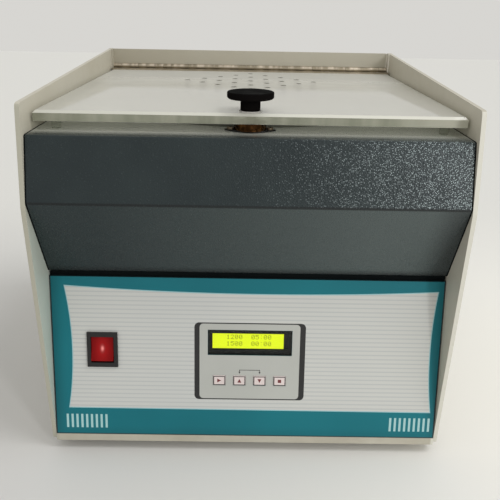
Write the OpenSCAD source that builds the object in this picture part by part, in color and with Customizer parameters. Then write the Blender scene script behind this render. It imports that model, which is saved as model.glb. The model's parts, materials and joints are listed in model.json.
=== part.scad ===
// Bench-top laboratory centrifuge with a hinged acrylic lid and an eight-place angle rotor.
// Millimetres. Z is up, the front faces -Y, and the origin is on the floor under the middle.

/* [Cabinet] */
// Width over the two side panels
cabinet_w = 340; // [334:1:380]
// Length of the side panels from front to back
cabinet_d = 345; // [343:1:390]
// Thickness of a side panel
side_t = 3.5; // [3:0.5:5]
// How far a side panel's front corner stands above the hood's top
side_over_hood = 23; // [20:0.5:40]
// How much higher a side panel's back corner is than its front one
side_rise = 14.5; // [10:0.5:28]
// Radius of the side panels' front top corner
side_corner_r = 4; // [2:0.5:14]
// Radius of the side panels' other corners
side_small_r = 4; // [2:0.5:8]
// Thickness of the hood's, back flanges' and bowl's sheet
sheet_t = 1.5; // [1:0.25:2]
// Thickness of the base tray's, back panel's and control panel's sheet
plate_t = 2; // [1.5:0.25:2.5]
// How far the back panel lies in front of the side panels' rear edges
back_recess = 5.5; // [5:0.5:12]
// Width of the back panel's folded side flanges
back_flange = 7; // [6:0.5:8]
// Height of the base tray's folded walls
tray_wall_h = 28; // [24:1:34]
// Height of the tray's front lip under the control panel
lip_h = 7; // [6:0.5:8]

/* [Hood] */
// Height of the hood's top above the tray's underside
hood_h = 268.5; // [266:0.5:272]
// Height of the hood's crest
crest_h = 220; // [212:0.5:230]
// Height of the waist between the hood and the control panel
waist_h = 149.2; // [140:0.5:158]
// Height of the black gap at the waist
waist_gap = 4.6; // [3:0.2:6]
// Set-back of the hood's front top edge from the side panels' front
hood_set = 15; // [12:0.5:18]
// Set-back of the hood's crest
crest_set = 0.8; // [0.5:0.1:4]
// Set-back of the waist
waist_set = 32; // [26:0.5:34]
// Bend radius of the hood's edges
hood_bend_r = 2.5; // [2.4:0.1:4]
// Gap between the hood and each side panel, filled by a foam strip
hood_gap = 1.2; // [0.8:0.1:1.6]
// Depth of the hood's folded flanges
hood_flange = 14; // [12:1:16]

/* [Control panel] */
// Set-back of the control panel's bottom edge
panel_set = 3.7; // [3:0.1:8]
// Depth of the control panel's folded flanges
panel_flange = 12; // [8:1:14]
// Thickness of the printed overlay
overlay_t = 0.5; // [0.3:0.1:0.8]
// Margin of bare panel around the overlay
overlay_margin = 1.1; // [0.6:0.1:2]
// Bare strip of panel above the overlay
overlay_top = 0.2; // [0.1:0.1:2]
// Sideways offset of the display and keys from the middle
panel_shift = 2.6; // [-4:0.2:6]
// Width of the display window
window_w = 72; // [68:1:76]
// Height of the display window
window_h = 22.5; // [20:0.5:24]
// Height of the window's middle along the panel
window_v = 86.4; // [82:0.1:88]
// Width of the display's visible area
view_w = 64.5; // [60:0.5:66]
// Height of the display's visible area
view_h = 14.5; // [12:0.5:18]
// Width of a key cap
key_w = 10.6; // [9:0.2:12]
// Height of a key cap
key_h = 8.6; // [7:0.2:10]
// Spacing of the keys
key_pitch = 17.35; // [17:0.05:19]
// Height of the keys' middle along the panel
key_v = 52.3; // [47:0.1:54]
// How far a key cap stands out of the overlay
key_proud = 0.7; // [0.6:0.1:1.2]
// Travel of a key
key_travel = 0.5; // [0.3:0.1:0.5]

/* [Rocker switch] */
// Width of the switch's bezel
bezel_w = 26; // [25:0.5:30]
// Height of the switch's bezel
bezel_h = 31; // [30:0.5:34]
// Thickness of the bezel
bezel_t = 2; // [1.5:0.5:3]
// Sideways place of the switch
rocker_x = -123.2; // [-130:0.2:-90]
// Height of the switch's middle along the panel
rocker_v = 78.9; // [60:0.1:90]
// Width of the rocker
rocker_w = 18.8; // [16:0.2:19]
// Height of the rocker along the panel
rocker_h = 20.8; // [18:0.2:21]
// Full tilt of the rocker from one side to the other, in degrees
rocker_swing = 14; // [10:1:16]

/* [Lid and hinge] */
// Thickness of the lid
lid_t = 8; // [6:0.5:10]
// Gap between the lid and the hood
lid_gap = 6.9; // [6:0.1:8]
// Set-back of the lid's front edge
lid_set = 32.5; // [30:0.5:36]
// Gap between the lid's rear edge and the back panel
lid_rear_gap = 8; // [7.6:0.2:10]
// Gap between the lid and each side flange
lid_side_gap = 0.6; // [0.4:0.1:3]
// Chamfer of the lid's top edges
lid_chamfer = 2; // [1:0.25:3]
// Diameter of a vent hole
vent_d = 6; // [4:0.5:8]
// Spacing between the vent columns
vent_pitch = 16.6; // [12:0.1:18]
// Vent holes along one side of the square pattern
vent_n = 5; // [3:1:5]
// Distance of the pattern's middle from the lid's rear edge
vent_back = 97; // [84:1:110]
// Diameter of the hinge barrel
barrel_d = 6; // [5:0.5:7]
// Diameter of the hinge pin
pin_d = 2.6; // [2:0.1:3]
// Length of one hinge knuckle with its gap
knuckle_l = 10; // [8:1:16]
// Thickness of the hinge leaves
leaf_t = 1.2; // [1:0.1:1.5]
// Width of the lid's hinge leaf, from the pin
leaf_w = 16; // [14:0.5:18]
// Radial running clearance of pins and spindles
run_fit = 0.05; // [0.02:0.01:0.1]
// Diameter of a lid bumper
bumper_d = 8; // [6:0.5:12]
// Distance of the bumpers from the lid's sides
bumper_in = 14.4; // [10:0.2:30]

/* [Latch] */
// Distance of the latch axis from the lid's front edge
latch_in = 11.5; // [10:0.5:14]
// Distance of the latch axis to the right of the middle
latch_x = -0.5; // [-10:0.5:10]
// Diameter of the knob's disc
knob_d = 36; // [30:0.5:44]
// Thickness of the knob's disc
knob_t = 5.2; // [4:0.1:8]
// Height of the knob above its washer
knob_h = 14; // [12:0.5:22]
// Diameter of the knob's stem
stem_d = 15.4; // [12:0.2:20]
// Diameter of the spindle
spindle_d = 8; // [6:0.5:9]
// Length of the spindle's cross bar
bar_l = 14; // [12:0.5:15]
// Width and height of the cross bar
bar_w = 4; // [3:0.5:5]
// Diameter of the brass collar
collar_d = 25; // [20:0.5:26]
// Thickness of the strike plate
strike_t = 1.2; // [0.8:0.1:1.5]
// Length of the strike plate
strike_l = 40; // [38:0.5:48]
// Width of the strike plate
strike_w = 17; // [15:0.5:20]

/* [Chamber and rotor] */
// Gap between the latch's axis and the bowl
latch_bowl_gap = 10.5; // [10:0.5:14]
// Gap between the bowl and the back panel
bowl_back_gap = 4; // [3:0.5:5]
// How far the bowl's rim and the hood's opening stand in from the bowl's wall
rim_in = 4; // [2:0.5:10]
// Height of the bowl's floor above the tray's underside
bowl_floor_h = 90; // [84:0.5:96]
// Corner radius inside the bowl
bowl_corner_r = 20; // [12:1:26]
// Tube places in the rotor
shield_n = 8; // [4:2:8]
// Lean of the tubes from upright, in degrees
tube_tilt = 32; // [28:1:40]
// Outer diameter of a tube shield
shield_od = 31; // [28:0.5:34]
// Bore of a tube shield
shield_bore = 28; // [24:0.5:29]
// Length of a tube shield below its collar
shield_l = 84; // [70:1:90]
// Clearance between the spinning tubes and the bowl
spin_gap = 8; // [6:0.5:14]
// Thickness of the rotor's dish
dish_t = 6; // [4:0.5:8]
// Diameter of the rotor's hub
hub_d = 40; // [34:1:46]
// Thickness of a shield's rubber cushion
cushion_t = 4; // [3:0.5:8]

/* [Motor] */
// Outer diameter of the motor's can
can_d = 92; // [88:1:96]
// Height of the can between the bells
can_h = 32; // [28:1:34]
// Wall of the can
can_wall = 3; // [2:0.5:4]
// Thickness of a bell
bell_t = 12; // [11:0.5:13]
// Diameter of the motor shaft
shaft_d = 12; // [10:0.5:14]
// Diameter of a bearing
bearing_d = 32; // [30:1:36]
// Thickness of a bearing
bearing_t = 10; // [8:0.5:10]
// Diameter of a rubber isolator
isolator_d = 22; // [18:1:26]
// Thickness of the motor mount plate
mount_t = 4; // [3:0.5:5]
// Gap between the motor and the bowl
motor_gap = 3.5; // [3:0.5:6]

/* [Feet] */
// Height of a rubber foot
foot_h = 9; // [8:0.5:14]
// Diameter of a rubber foot
foot_d = 26; // [22:1:34]
// Distance of the feet from the side panels' outer faces and ends
foot_in = 34; // [26:1:50]

/* [Hidden] */
$fn = 48;

cream = [0.80, 0.78, 0.71];
slate = [0.22, 0.25, 0.26];
black = [0.07, 0.07, 0.07];
rubber = [0.11, 0.11, 0.12];
steel = [0.72, 0.73, 0.75];
brass = [0.74, 0.57, 0.28];
teal = [0.13, 0.42, 0.45];
green_board = [0.10, 0.36, 0.22];
copper = [0.72, 0.40, 0.22];
clear = [0.80, 0.84, 0.80, 0.5];

// Overlap of joined shapes and overshoot of cuts
e = 0.01;
cut = 1;
arc_steps = 6;

// Cabinet planes
front_y = -cabinet_d / 2;
back_y = cabinet_d / 2;
back_out_y = back_y - back_recess;
back_in_y = back_out_y - plate_t;
inner_w = cabinet_w - 2 * side_t;
base_z = foot_h;
floor_z = base_z + plate_t;
hood_w = inner_w - 2 * hood_gap;
hood_z = base_z + hood_h;
hood_under_z = hood_z - sheet_t;
crest_z = base_z + crest_h;
hood_low_z = base_z + waist_h + waist_gap / 2;
panel_top_z = base_z + waist_h - waist_gap / 2;
hood_y = front_y + hood_set;
crest_y = front_y + crest_set;
waist_y = front_y + waist_set;
side_front_h = hood_h + side_over_hood;
side_back_h = side_front_h + side_rise;
rail_drop = 0.5;
rail_top_z = base_z + side_back_h - rail_drop;
tray_front_y = front_y + panel_set;
lip_z = base_z + lip_h;
lip_depth = panel_flange + 3;

flange_front_y = hood_y + 30;
flange_back_y = back_in_y - back_flange - 10;

// Control panel plane
panel_y = front_y + panel_set;
panel_z = lip_z;
panel_rise = panel_top_z - panel_z;
panel_run = waist_y - panel_y;
panel_len = sqrt(panel_rise * panel_rise + panel_run * panel_run);
panel_tilt = atan2(panel_run, panel_rise);
panel_w = inner_w - 0.8;
hole_gap = 0.2;
display_board_w = 80;
display_board_h = 34;
display_board_n = -8.6;
display_bezel_front = -plate_t - 0.2;
pcb_t = 1.6;
key_flange_t = 1;
key_flange_out = 1.2;
key_back_gap = 0.1;
key_stem_n = -plate_t - key_back_gap - key_flange_t - 1.8;
switch_gap = 0.05;
switch_h = 4.3;
switch_w = 6;
control_board_n = key_stem_n - key_travel - switch_gap - switch_h;
control_board_w = 3 * key_pitch + 38;
control_board_h = 34;
control_board_v = key_v - 6;
plug_margin = 4;
plug_h = 6;
standoff_d = 5;
m3_d = 3;
m3_head_d = 5.5;
m3_head_h = 1.6;
m4_d = 4;
m4_head_d = 8;
m4_head_h = 2.2;
m3_reach = 12;
m4_reach = 8;

// Rocker switch
rocker_gap = 0.3;
rocker_wall = 1.5;
rocker_room = 1;
rocker_pivot_n = -4;
rocker_pin_d = 3;
switch_body_w = rocker_w + 2 * (rocker_gap + rocker_wall);
switch_body_h = rocker_h + 2 * (rocker_room + rocker_wall);
switch_depth = 20;
switch_tab_l = 8;
rocker_depth = 10;

// Lid and hinge
lid_under_z = hood_z + lid_gap;
lid_z = lid_under_z + lid_t;
lid_front_y = front_y + lid_set;
lid_back_y = back_in_y - lid_rear_gap;
lid_w = inner_w - 2 * (sheet_t + lid_side_gap);
knuckle_gap = 0.3;
wall_gap = 0.3;
hinge_y = back_in_y - barrel_d / 2 - wall_gap;
hinge_z = lid_z + barrel_d / 2;
leaf_clear = barrel_d / 2 + 0.4;
knuckle_n = 2 * floor((lid_w - 2) / knuckle_l / 2) + 1;
leaf_l = knuckle_n * knuckle_l - knuckle_gap;
leaf_foot_z = hood_z + 0.8;
leaf_screw_n = 6;
leaf_screw_pitch = (leaf_l - 24) / (leaf_screw_n - 1);
vent_y = lid_back_y - vent_back;

// Latch
latch_y = lid_front_y + latch_in;
washer_t = 0.8;
washer_d = stem_d + 2;
latch_play = 0.1;
strike_z = hood_z + strike_t;
bar_top_z = hood_under_z - 0.4;
bar_side_gap = 1.3;
slot_l = bar_l + 2 * bar_side_gap;
slot_w = bar_w + 2 * bar_side_gap;
slot_hole_d = spindle_d + 2 * bar_side_gap;
strike_screw_x = strike_l / 2 - 4.6;
lid_hole_d = spindle_d + 1;
spindle_top_z = lid_z + washer_t + latch_play + knob_h - 4;

// Bowl
bowl_front_y = latch_y + latch_bowl_gap;
bowl_back_y = back_in_y - bowl_back_gap;
bowl_out_r = (bowl_back_y - bowl_front_y) / 2;
bowl_r = bowl_out_r - sheet_t;
opening_r = bowl_r - rim_in;
bowl_y = (bowl_back_y + bowl_front_y) / 2;
bowl_z = base_z + bowl_floor_h;
gaiter_r = 30;
seal_t = 2;
seal_in_r = opening_r - 3;
seal_out_r = min(opening_r + 4, bowl_r - 0.5);

// Rotor
shield_r = shield_od / 2;
foot_ring_r = bowl_r - spin_gap - shield_r * cos(tube_tilt);
floor_gap = 10;
foot_ring_z = bowl_z + floor_gap + shield_r * sin(tube_tilt);
seat_r = foot_ring_r - shield_l * sin(tube_tilt);
seat_z = foot_ring_z + shield_l * cos(tube_tilt);
collar_t = 2;
shield_reach = 30;
shield_collar_d = shield_od + 5;
shield_floor_t = 2;
shield_play = 0.15;
cushion_d = shield_bore - 4;
hub_r = hub_d / 2;
hub_z = bowl_z + 5;
function dish_top(r) = seat_z + (r - seat_r) * tan(tube_tilt);
function dish_under(r) = dish_top(r) - dish_t / cos(tube_tilt);
dish_r = seat_r + (shield_collar_d / 2 + 6) * cos(tube_tilt);
hub_top_z = dish_top(hub_r) + 2;
nut_flange_d = 26;
nut_flange_t = 3;
nut_d = 22;
nut_h = 9;
thread_d = shaft_d - 2;

// Motor stack, from the bowl down
bell_d = can_d + 12;
boss_d = bearing_d + 2;
upper_bell_z = bowl_z - sheet_t - motor_gap - bell_t;
can_z = upper_bell_z - can_h;
lower_bell_z = can_z - bell_t;
mount_z = lower_bell_z - mount_t;
isolator_h = mount_z - floor_z;
mount_w = bell_d + 2 * isolator_d + 22;
mount_d = bell_d + 12;
isolator_x = mount_w / 2 - isolator_d / 2 - 3;
isolator_y = mount_d / 2 - isolator_d / 2 - 3;
isolator_bolt_d = 6;
tie_r = (can_d + m4_d) / 2 + 1;
stator_r = can_d / 2 - can_wall;
stator_bore_part = 0.58;
stator_in_r = stator_r * stator_bore_part;
slot_depth = stator_r - stator_in_r;
stator_h = can_h - 10;
stator_z = can_z + 5;
stator_teeth = 12;
tooth_w = 7;
magnet_gap = 0.5;
shaft_shoulder_d = shaft_d + 6;
shaft_foot_z = lower_bell_z + 1;
shaft_tip_z = hub_top_z + nut_flange_t + nut_h - 2;

// Back fittings
inlet_x = -110;
inlet_z = base_z + 48;
inlet_w = 50;
inlet_h = 23;
inlet_body_w = 28;
inlet_body_h = 20;
inlet_depth = 22;
socket_w = 24;
socket_h = 16;
socket_depth = 17;
inlet_screw_x = 20;
fuse_x = inlet_x + 55;
fuse_d = 12;
fuse_cap_d = 15;
fitting_proud = 3;
vent_slot_w = 3;
vent_slot_l = 44;
vent_slot_n = 12;
vent_slot_pitch = 9;
back_vent_x = 20;
back_vent_z = base_z + 46;
back_vent_rise = vent_slot_l + 10;

// Boards on the tray
board_w = 100;
board_d = 80;
lane_room = 22.5;
board_x = inner_w / 2 - plate_t - lane_room - board_w / 2;
board_y = front_y + 78;
board_lift = 8;
board_z = floor_z + board_lift;
board_hole_in = 4;

// Internal leads
mains_lead_d = 5;
motor_lead_d = 4;
signal_lead_d = 3;
lead_run = 12;
lead_sides = 12;
lead_joint = 1.12;

function unit(v) = v / norm(v);
function left_of(v) = [-v[1], v[0]];

// Points of one rounded corner of a path
function corner(a, b, c, r) =
    let (
        u = unit(a - b),
        w = unit(c - b),
        half = acos(u * w) / 2,
        centre = b + unit(u + w) * r / sin(half),
        start = b + u * r / tan(half) - centre,
        stop = b + w * r / tan(half) - centre,
        from_angle = atan2(start[1], start[0]),
        to_angle = atan2(stop[1], stop[0]),
        sweep = (to_angle - from_angle + 540) % 360 - 180
    )
    [for (i = [0 : arc_steps])
        centre + r * [cos(from_angle + sweep * i / arc_steps), sin(from_angle + sweep * i / arc_steps)]];

// Closed outline with a radius at each point
function rounded(points, radii) =
    let (n = len(points))
    [for (i = [0 : n - 1])
        each corner(points[(i + n - 1) % n], points[i], points[(i + 1) % n], radii[i])];

// The same path moved sideways by t, to the left of its direction
function beside(path, t) =
    let (
        n = len(path),
        normals = [for (i = [0 : n - 2]) left_of(unit(path[i + 1] - path[i]))]
    )
    [for (i = [0 : n - 1])
        i == 0 ? path[0] + t * normals[0]
        : i == n - 1 ? path[i] + t * normals[n - 2]
        : path[i] + t * (normals[i - 1] + normals[i]) / (1 + normals[i - 1] * normals[i])];

function reversed(path) = [for (i = [len(path) - 1 : -1 : 0]) path[i]];

// Section of a sheet folded along a path
function folded(path, t) = concat(path, reversed(beside(path, t)));

// Draws a Y-Z section and extrudes it along X, centred
module along_x(width) {
    translate([-width / 2, 0, 0])
        rotate([90, 0, 90])
            linear_extrude(width)
                children();
}

// A bored hole or rod along Y or X, centred on its place
module rod_y(d, l) {
    rotate([-90, 0, 0])
        cylinder(d = d, h = l);
}

module rod_x(d, l) {
    rotate([0, 90, 0])
        cylinder(d = d, h = l, center = true);
}

// Places children on the control panel: x across, y up the slope, z out of its face
module on_panel(x = 0, v = 0, n = 0) {
    translate([0, panel_y, panel_z])
        rotate([90 - panel_tilt, 0, 0])
            translate([x, v, n])
                children();
}

function panel_point(x, v, n) = [
    x,
    panel_y + v * sin(panel_tilt) - n * cos(panel_tilt),
    panel_z + v * cos(panel_tilt) + n * sin(panel_tilt)
];

// A block centred in x and y on the control panel, from one depth to another
module slab(w, h, from, to) {
    translate([-w / 2, -h / 2, from])
        cube([w, h, to - from]);
}

module mirror_x() {
    children();
    mirror([1, 0, 0])
        children();
}

module at_corners(x, y) {
    for (sx = [-1, 1], sy = [-1, 1])
        translate([sx * x, sy * y, 0])
            children();
}

// Countersunk screw with its head's top at z = 0, pointing down
module flat_screw(d, head_d, head_h, l) {
    translate([0, 0, -head_h])
        cylinder(d1 = d, d2 = head_d, h = head_h);
    translate([0, 0, -l])
        cylinder(d = d, h = l - head_h + e);
}

// Pan head screw seated at z = 0, pointing down
module pan_screw(d, head_d, head_h, l) {
    difference() {
        cylinder(d = head_d, h = head_h);
        for (turn = [0, 90])
            rotate([0, 0, turn])
                translate([-head_d / 3, -0.4, head_h - 0.8])
                    cube([head_d * 2 / 3, 0.8, cut]);
    }
    translate([0, 0, -l])
        cylinder(d = d, h = l + e);
}

// Screw holes through the sheets behind a screw's place
module m3_hole() {
    translate([0, 0, -m3_reach])
        cylinder(d = m3_d, h = m3_reach + cut);
}

module side_hole() {
    translate([0, 0, -side_t - m4_reach])
        cylinder(d = m4_d, h = m4_reach + cut);
}

// Places of the fasteners
side_low_y = [front_y + 45, front_y + cabinet_d / 2, back_in_y - 45];
side_top_y = [hood_y + 60, back_in_y - 60];
side_back_z = [base_z + 90, base_z + 200];
side_low_z = base_z + tray_wall_h / 2 + 3;
side_top_z = hood_under_z - hood_flange / 2;
side_back_y = back_in_y - back_flange / 2;

module at_side_screws() {
    mirror_x()
        translate([cabinet_w / 2, 0, 0]) {
            for (y = side_low_y)
                translate([0, y, side_low_z])
                    rotate([0, 90, 0])
                        children();
            for (y = side_top_y)
                translate([0, y, side_top_z])
                    rotate([0, 90, 0])
                        children();
            for (z = side_back_z)
                translate([0, side_back_y, z])
                    rotate([0, 90, 0])
                        children();
        }
}

back_screw_x = [for (i = [-2 : 2]) i * (inner_w / 2 - 14) / 2];

module at_back_screws() {
    for (x = back_screw_x, z = [base_z + 8, side_top_z])
        translate([x, back_out_y, z])
            rotate([-90, 0, 0])
                children();
}

module at_inlet_screws() {
    for (side = [-1, 1])
        translate([inlet_x + side * inlet_screw_x, back_out_y + fitting_proud, inlet_z])
            rotate([-90, 0, 0])
                children();
}

module at_strike_screws() {
    for (side = [-1, 1])
        translate([latch_x + side * strike_screw_x, latch_y, strike_z])
            children();
}

module at_cabinet_leaf_screws() {
    for (i = [0 : leaf_screw_n - 1])
        translate([(i - (leaf_screw_n - 1) / 2) * leaf_screw_pitch, back_in_y - leaf_t, (leaf_foot_z + hinge_z - leaf_clear) / 2])
            rotate([90, 0, 0])
                children();
}

module at_lid_leaf_screws() {
    for (i = [0 : leaf_screw_n - 1])
        translate([(i - (leaf_screw_n - 1) / 2) * leaf_screw_pitch, hinge_y - (leaf_w + leaf_clear) / 2 - 1, lid_z + leaf_t])
            children();
}

module at_feet() {
    at_corners(cabinet_w / 2 - foot_in, cabinet_d / 2 - foot_in)
        children();
}

module at_isolators() {
    translate([0, bowl_y, 0])
        at_corners(isolator_x, isolator_y)
            children();
}

module at_tie_bolts() {
    translate([0, bowl_y, 0])
        for (turn = [45 : 90 : 315])
            rotate([0, 0, turn])
                translate([tie_r, 0, 0])
                    children();
}

// Cabinet

module base_tray() {
    depth = back_in_y - tray_front_y;
    color(cream)
        difference() {
            union() {
                translate([-inner_w / 2, tray_front_y, base_z])
                    cube([inner_w, depth, plate_t]);
                translate([-inner_w / 2, tray_front_y, base_z])
                    cube([inner_w, plate_t, lip_h]);
                translate([-inner_w / 2, tray_front_y, lip_z - plate_t])
                    cube([inner_w, lip_depth, plate_t]);
                translate([-inner_w / 2, back_in_y - plate_t, base_z])
                    cube([inner_w, plate_t, tray_wall_h]);
                mirror_x()
                    translate([inner_w / 2 - plate_t, front_y + lip_depth + 12, base_z])
                        cube([plate_t, back_in_y - front_y - lip_depth - 12, tray_wall_h]);
            }
            at_side_screws()
                side_hole();
            at_back_screws()
                m3_hole();
            at_feet()
                translate([0, 0, base_z - cut])
                    cylinder(d = m4_d, h = plate_t + 2 * cut);
            at_isolators()
                translate([0, 0, base_z - cut])
                    cylinder(d = isolator_bolt_d, h = plate_t + 2 * cut);
            for (i = [-4 : 4])
                translate([i * vent_slot_pitch - vent_slot_w / 2, bowl_y - vent_slot_l / 2, base_z - cut])
                    cube([vent_slot_w, vent_slot_l, plate_t + 2 * cut]);
        }
}

module rubber_feet() {
    color(rubber)
        at_feet()
            difference() {
                cylinder(d1 = foot_d - 4, d2 = foot_d, h = foot_h);
                translate([0, 0, -cut])
                    cylinder(d = m4_d, h = foot_h + 2 * cut);
                translate([0, 0, -cut])
                    cylinder(d = m4_head_d + 1, h = foot_h / 2 - 0.5 + cut);
            }
}

module foot_screws() {
    color(steel)
        at_feet()
            translate([0, 0, foot_h / 2 - 0.5])
                mirror([0, 0, 1])
                    pan_screw(m4_d, m4_head_d, m4_head_h, foot_h / 2 + plate_t + 3.5);
}

side_outline = rounded(
    [
        [front_y + 5, base_z],
        [front_y, base_z + waist_h + (crest_h - waist_h) * 0.95],
        [hood_y - 1, base_z + side_front_h],
        [back_y, base_z + side_back_h],
        [back_y, base_z]
    ],
    [side_small_r, 12, side_corner_r, side_small_r, side_small_r]
);

module side_panel() {
    difference() {
        translate([inner_w / 2 + side_t / 2, 0, 0])
            along_x(side_t)
                polygon(side_outline);
        at_side_screws()
            flat_screw(m4_d, m4_head_d, m4_head_h, side_t + cut);
    }
}

module left_side_panel() {
    color(cream)
        mirror([1, 0, 0])
            side_panel();
}

module right_side_panel() {
    color(cream)
        side_panel();
}

module side_panel_screws() {
    color(steel)
        at_side_screws()
            flat_screw(m4_d, m4_head_d, m4_head_h, side_t + plate_t + 3);
}

module back_panel() {
    color(cream)
        difference() {
            union() {
                translate([-inner_w / 2, back_in_y, base_z])
                    cube([inner_w, plate_t, rail_top_z - base_z]);
                mirror_x() {
                    translate([inner_w / 2 - sheet_t, back_in_y - back_flange, hood_z + 0.4])
                        cube([sheet_t, back_flange + e, rail_top_z - hood_z - 0.4]);
                    translate([inner_w / 2 - sheet_t, back_in_y - back_flange, base_z + tray_wall_h + 1])
                        cube([sheet_t, back_flange + e, hood_under_z - hood_flange - tray_wall_h - base_z - 3]);
                }
            }
            at_side_screws()
                side_hole();
            at_back_screws()
                m3_hole();
            at_inlet_screws()
                m3_hole();
            at_cabinet_leaf_screws()
                m3_hole();
            translate([inlet_x - inlet_body_w / 2, back_in_y - cut, inlet_z - inlet_body_h / 2])
                cube([inlet_body_w, plate_t + 2 * cut, inlet_body_h]);
            translate([fuse_x, back_in_y - cut, inlet_z])
                rod_y(fuse_d, plate_t + 2 * cut);
            for (i = [0 : vent_slot_n - 1], row = [0, 1])
                translate([back_vent_x + i * vent_slot_pitch, back_in_y - cut, back_vent_z + row * back_vent_rise])
                    cube([vent_slot_w, plate_t + 2 * cut, vent_slot_l]);
        }
}

module m3_screws() {
    color(steel) {
        at_back_screws()
            pan_screw(m3_d, m3_head_d, m3_head_h, plate_t * 2 + 2);
        at_inlet_screws()
            pan_screw(m3_d, m3_head_d, m3_head_h, fitting_proud + plate_t + 3);
        at_strike_screws()
            pan_screw(m3_d, m3_head_d, m3_head_h, strike_t + sheet_t + 3);
        at_cabinet_leaf_screws()
            flat_screw(m3_d, m3_head_d, leaf_t, leaf_t + plate_t + 2);
    }
}

// Hood

hood_path = concat(
    [[back_in_y, hood_z - hood_flange], [back_in_y, hood_z]],
    corner([back_in_y, hood_z], [hood_y, hood_z], [crest_y, crest_z], hood_bend_r),
    corner([hood_y, hood_z], [crest_y, crest_z], [waist_y, hood_low_z], hood_bend_r),
    corner([crest_y, crest_z], [waist_y, hood_low_z], [waist_y + hood_flange, hood_low_z], hood_bend_r),
    [[waist_y + hood_flange, hood_low_z]]
);

module latch_slot(from, to) {
    translate([latch_x, latch_y, from]) {
        translate([-slot_l / 2, -slot_w / 2, 0])
            cube([slot_l, slot_w, to - from]);
        cylinder(d = slot_hole_d, h = to - from);
    }
}

module top_hood() {
    color(slate)
        difference() {
            union() {
                along_x(hood_w)
                    polygon(folded(hood_path, sheet_t));
                mirror_x()
                    translate([hood_w / 2 - sheet_t, flange_front_y, hood_z - hood_flange])
                        cube([sheet_t, flange_back_y - flange_front_y, hood_flange - sheet_t / 2]);
            }
            translate([0, bowl_y, hood_under_z - cut])
                cylinder(r = opening_r, h = sheet_t + 2 * cut, $fn = 96);
            latch_slot(hood_under_z - cut, hood_z + cut);
            at_strike_screws()
                m3_hole();
            at_back_screws()
                m3_hole();
            at_side_screws()
                side_hole();
        }
}

module hood_side_seals() {
    seal_path = [for (i = [1 : len(hood_path) - 1]) hood_path[i]];
    color(rubber)
        for (side = [-1, 1])
            translate([side * (hood_w + hood_gap) / 2, 0, 0])
                along_x(hood_gap)
                    polygon(folded(seal_path, sheet_t + 0.3));
}

module waist_seal() {
    color(rubber)
        translate([-hood_w / 2, waist_y + 1.8, panel_top_z])
            cube([hood_w, panel_flange - 3, waist_gap]);
}

// Control panel

panel_path = [
    [panel_y + panel_flange, panel_z],
    [panel_y, panel_z],
    [waist_y, panel_top_z],
    [waist_y + panel_flange, panel_top_z]
];

module key_holes(gap, from, to) {
    for (i = [0 : 3])
        translate([key_x(i), key_v, 0])
            slab(key_w + 2 * gap, key_h + 2 * gap, from, to);
}

function key_x(i) = panel_shift + (i - 1.5) * key_pitch;

module panel_cuts(from, to) {
    translate([panel_shift, window_v, 0])
        slab(window_w, window_h, from, to);
    translate([rocker_x, rocker_v, 0])
        slab(switch_body_w, switch_body_h, from, to);
    key_holes(hole_gap, from, to);
}

module control_panel() {
    color(slate)
        difference() {
            along_x(panel_w)
                polygon(folded(panel_path, -plate_t));
            on_panel()
                panel_cuts(-plate_t - cut, cut);
        }
}

module panel_overlay() {
    color(teal)
        on_panel()
            difference() {
                translate([0, (panel_len + overlay_margin - overlay_top) / 2, 0])
                    slab(panel_w - 2 * overlay_margin, panel_len - overlay_margin - overlay_top, 0, overlay_t);
                panel_cuts(-cut, overlay_t + cut);
            }
}

module display_window() {
    color(clear)
        on_panel(panel_shift, window_v)
            slab(window_w, window_h, -plate_t, overlay_t);
}

module display_module() {
    color(black)
        on_panel(panel_shift, window_v)
            difference() {
                union() {
                    slab(display_board_w, display_board_h, display_board_n - pcb_t, display_board_n);
                    slab(window_w, window_h + 2, display_board_n - e, display_bezel_front);
                }
                slab(view_w, view_h, display_bezel_front - 1, display_bezel_front + cut);
            }
}

module control_board() {
    color(green_board)
        on_panel(panel_shift, control_board_v) {
            slab(control_board_w, control_board_h, control_board_n - pcb_t, control_board_n);
            translate([-10, -4, 0])
                slab(22, 14, control_board_n - pcb_t - 3, control_board_n - pcb_t + e);
            translate([24, -4, 0])
                slab(12, 8, control_board_n - pcb_t - 2, control_board_n - pcb_t + e);
            translate([0, -control_board_h / 2 + plug_margin, 0])
                slab(30, 6, control_board_n - pcb_t - plug_h, control_board_n - pcb_t + e);
        }
}

module key_switches() {
    color(black)
        for (i = [0 : 3])
            on_panel(key_x(i), key_v, control_board_n) {
                slab(switch_w, switch_w, 0, switch_h - 1);
                cylinder(d = 3.4, h = switch_h);
            }
}

module board_standoffs() {
    color(brass) {
        on_panel(panel_shift, window_v)
            at_corners(display_board_w / 2 - 2.4, display_board_h / 2 - standoff_d / 2)
                translate([0, 0, display_board_n])
                    cylinder(d = standoff_d - 0.6, h = -plate_t - display_board_n);
        on_panel(panel_shift, control_board_v)
            at_corners(control_board_w / 2 - 3.5, control_board_h / 2 - 3.5)
                translate([0, 0, control_board_n])
                    cylinder(d = standoff_d, h = -plate_t - control_board_n);
        mirror_x()
            translate([board_x, board_y, floor_z])
                at_corners(board_w / 2 - board_hole_in, board_d / 2 - board_hole_in)
                    cylinder(d = standoff_d, h = board_lift);
    }
}

// A block on a board's top face, from its left front corner
module block(at, size) {
    translate([at[0], at[1], pcb_t - e])
        cube(size);
}

module bare_board() {
    translate([-board_w / 2, -board_d / 2, 0])
        cube([board_w, board_d, pcb_t]);
}

module power_supply_board() {
    transformer = [38, 34, 26];
    terminals = [10, 30, 14];
    capacitor_d = 20;
    capacitor_h = 24;
    color(green_board)
        translate([-board_x, board_y, board_z]) {
            bare_board();
            block([-14, -6], transformer);
            block([board_w * 0.34, -board_d / 8], terminals);
            for (y = [-board_d / 4, board_d * 0.075])
                translate([-board_w * 0.32, y, pcb_t - e])
                    cylinder(d = capacitor_d, h = capacitor_h);
        }
}

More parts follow.
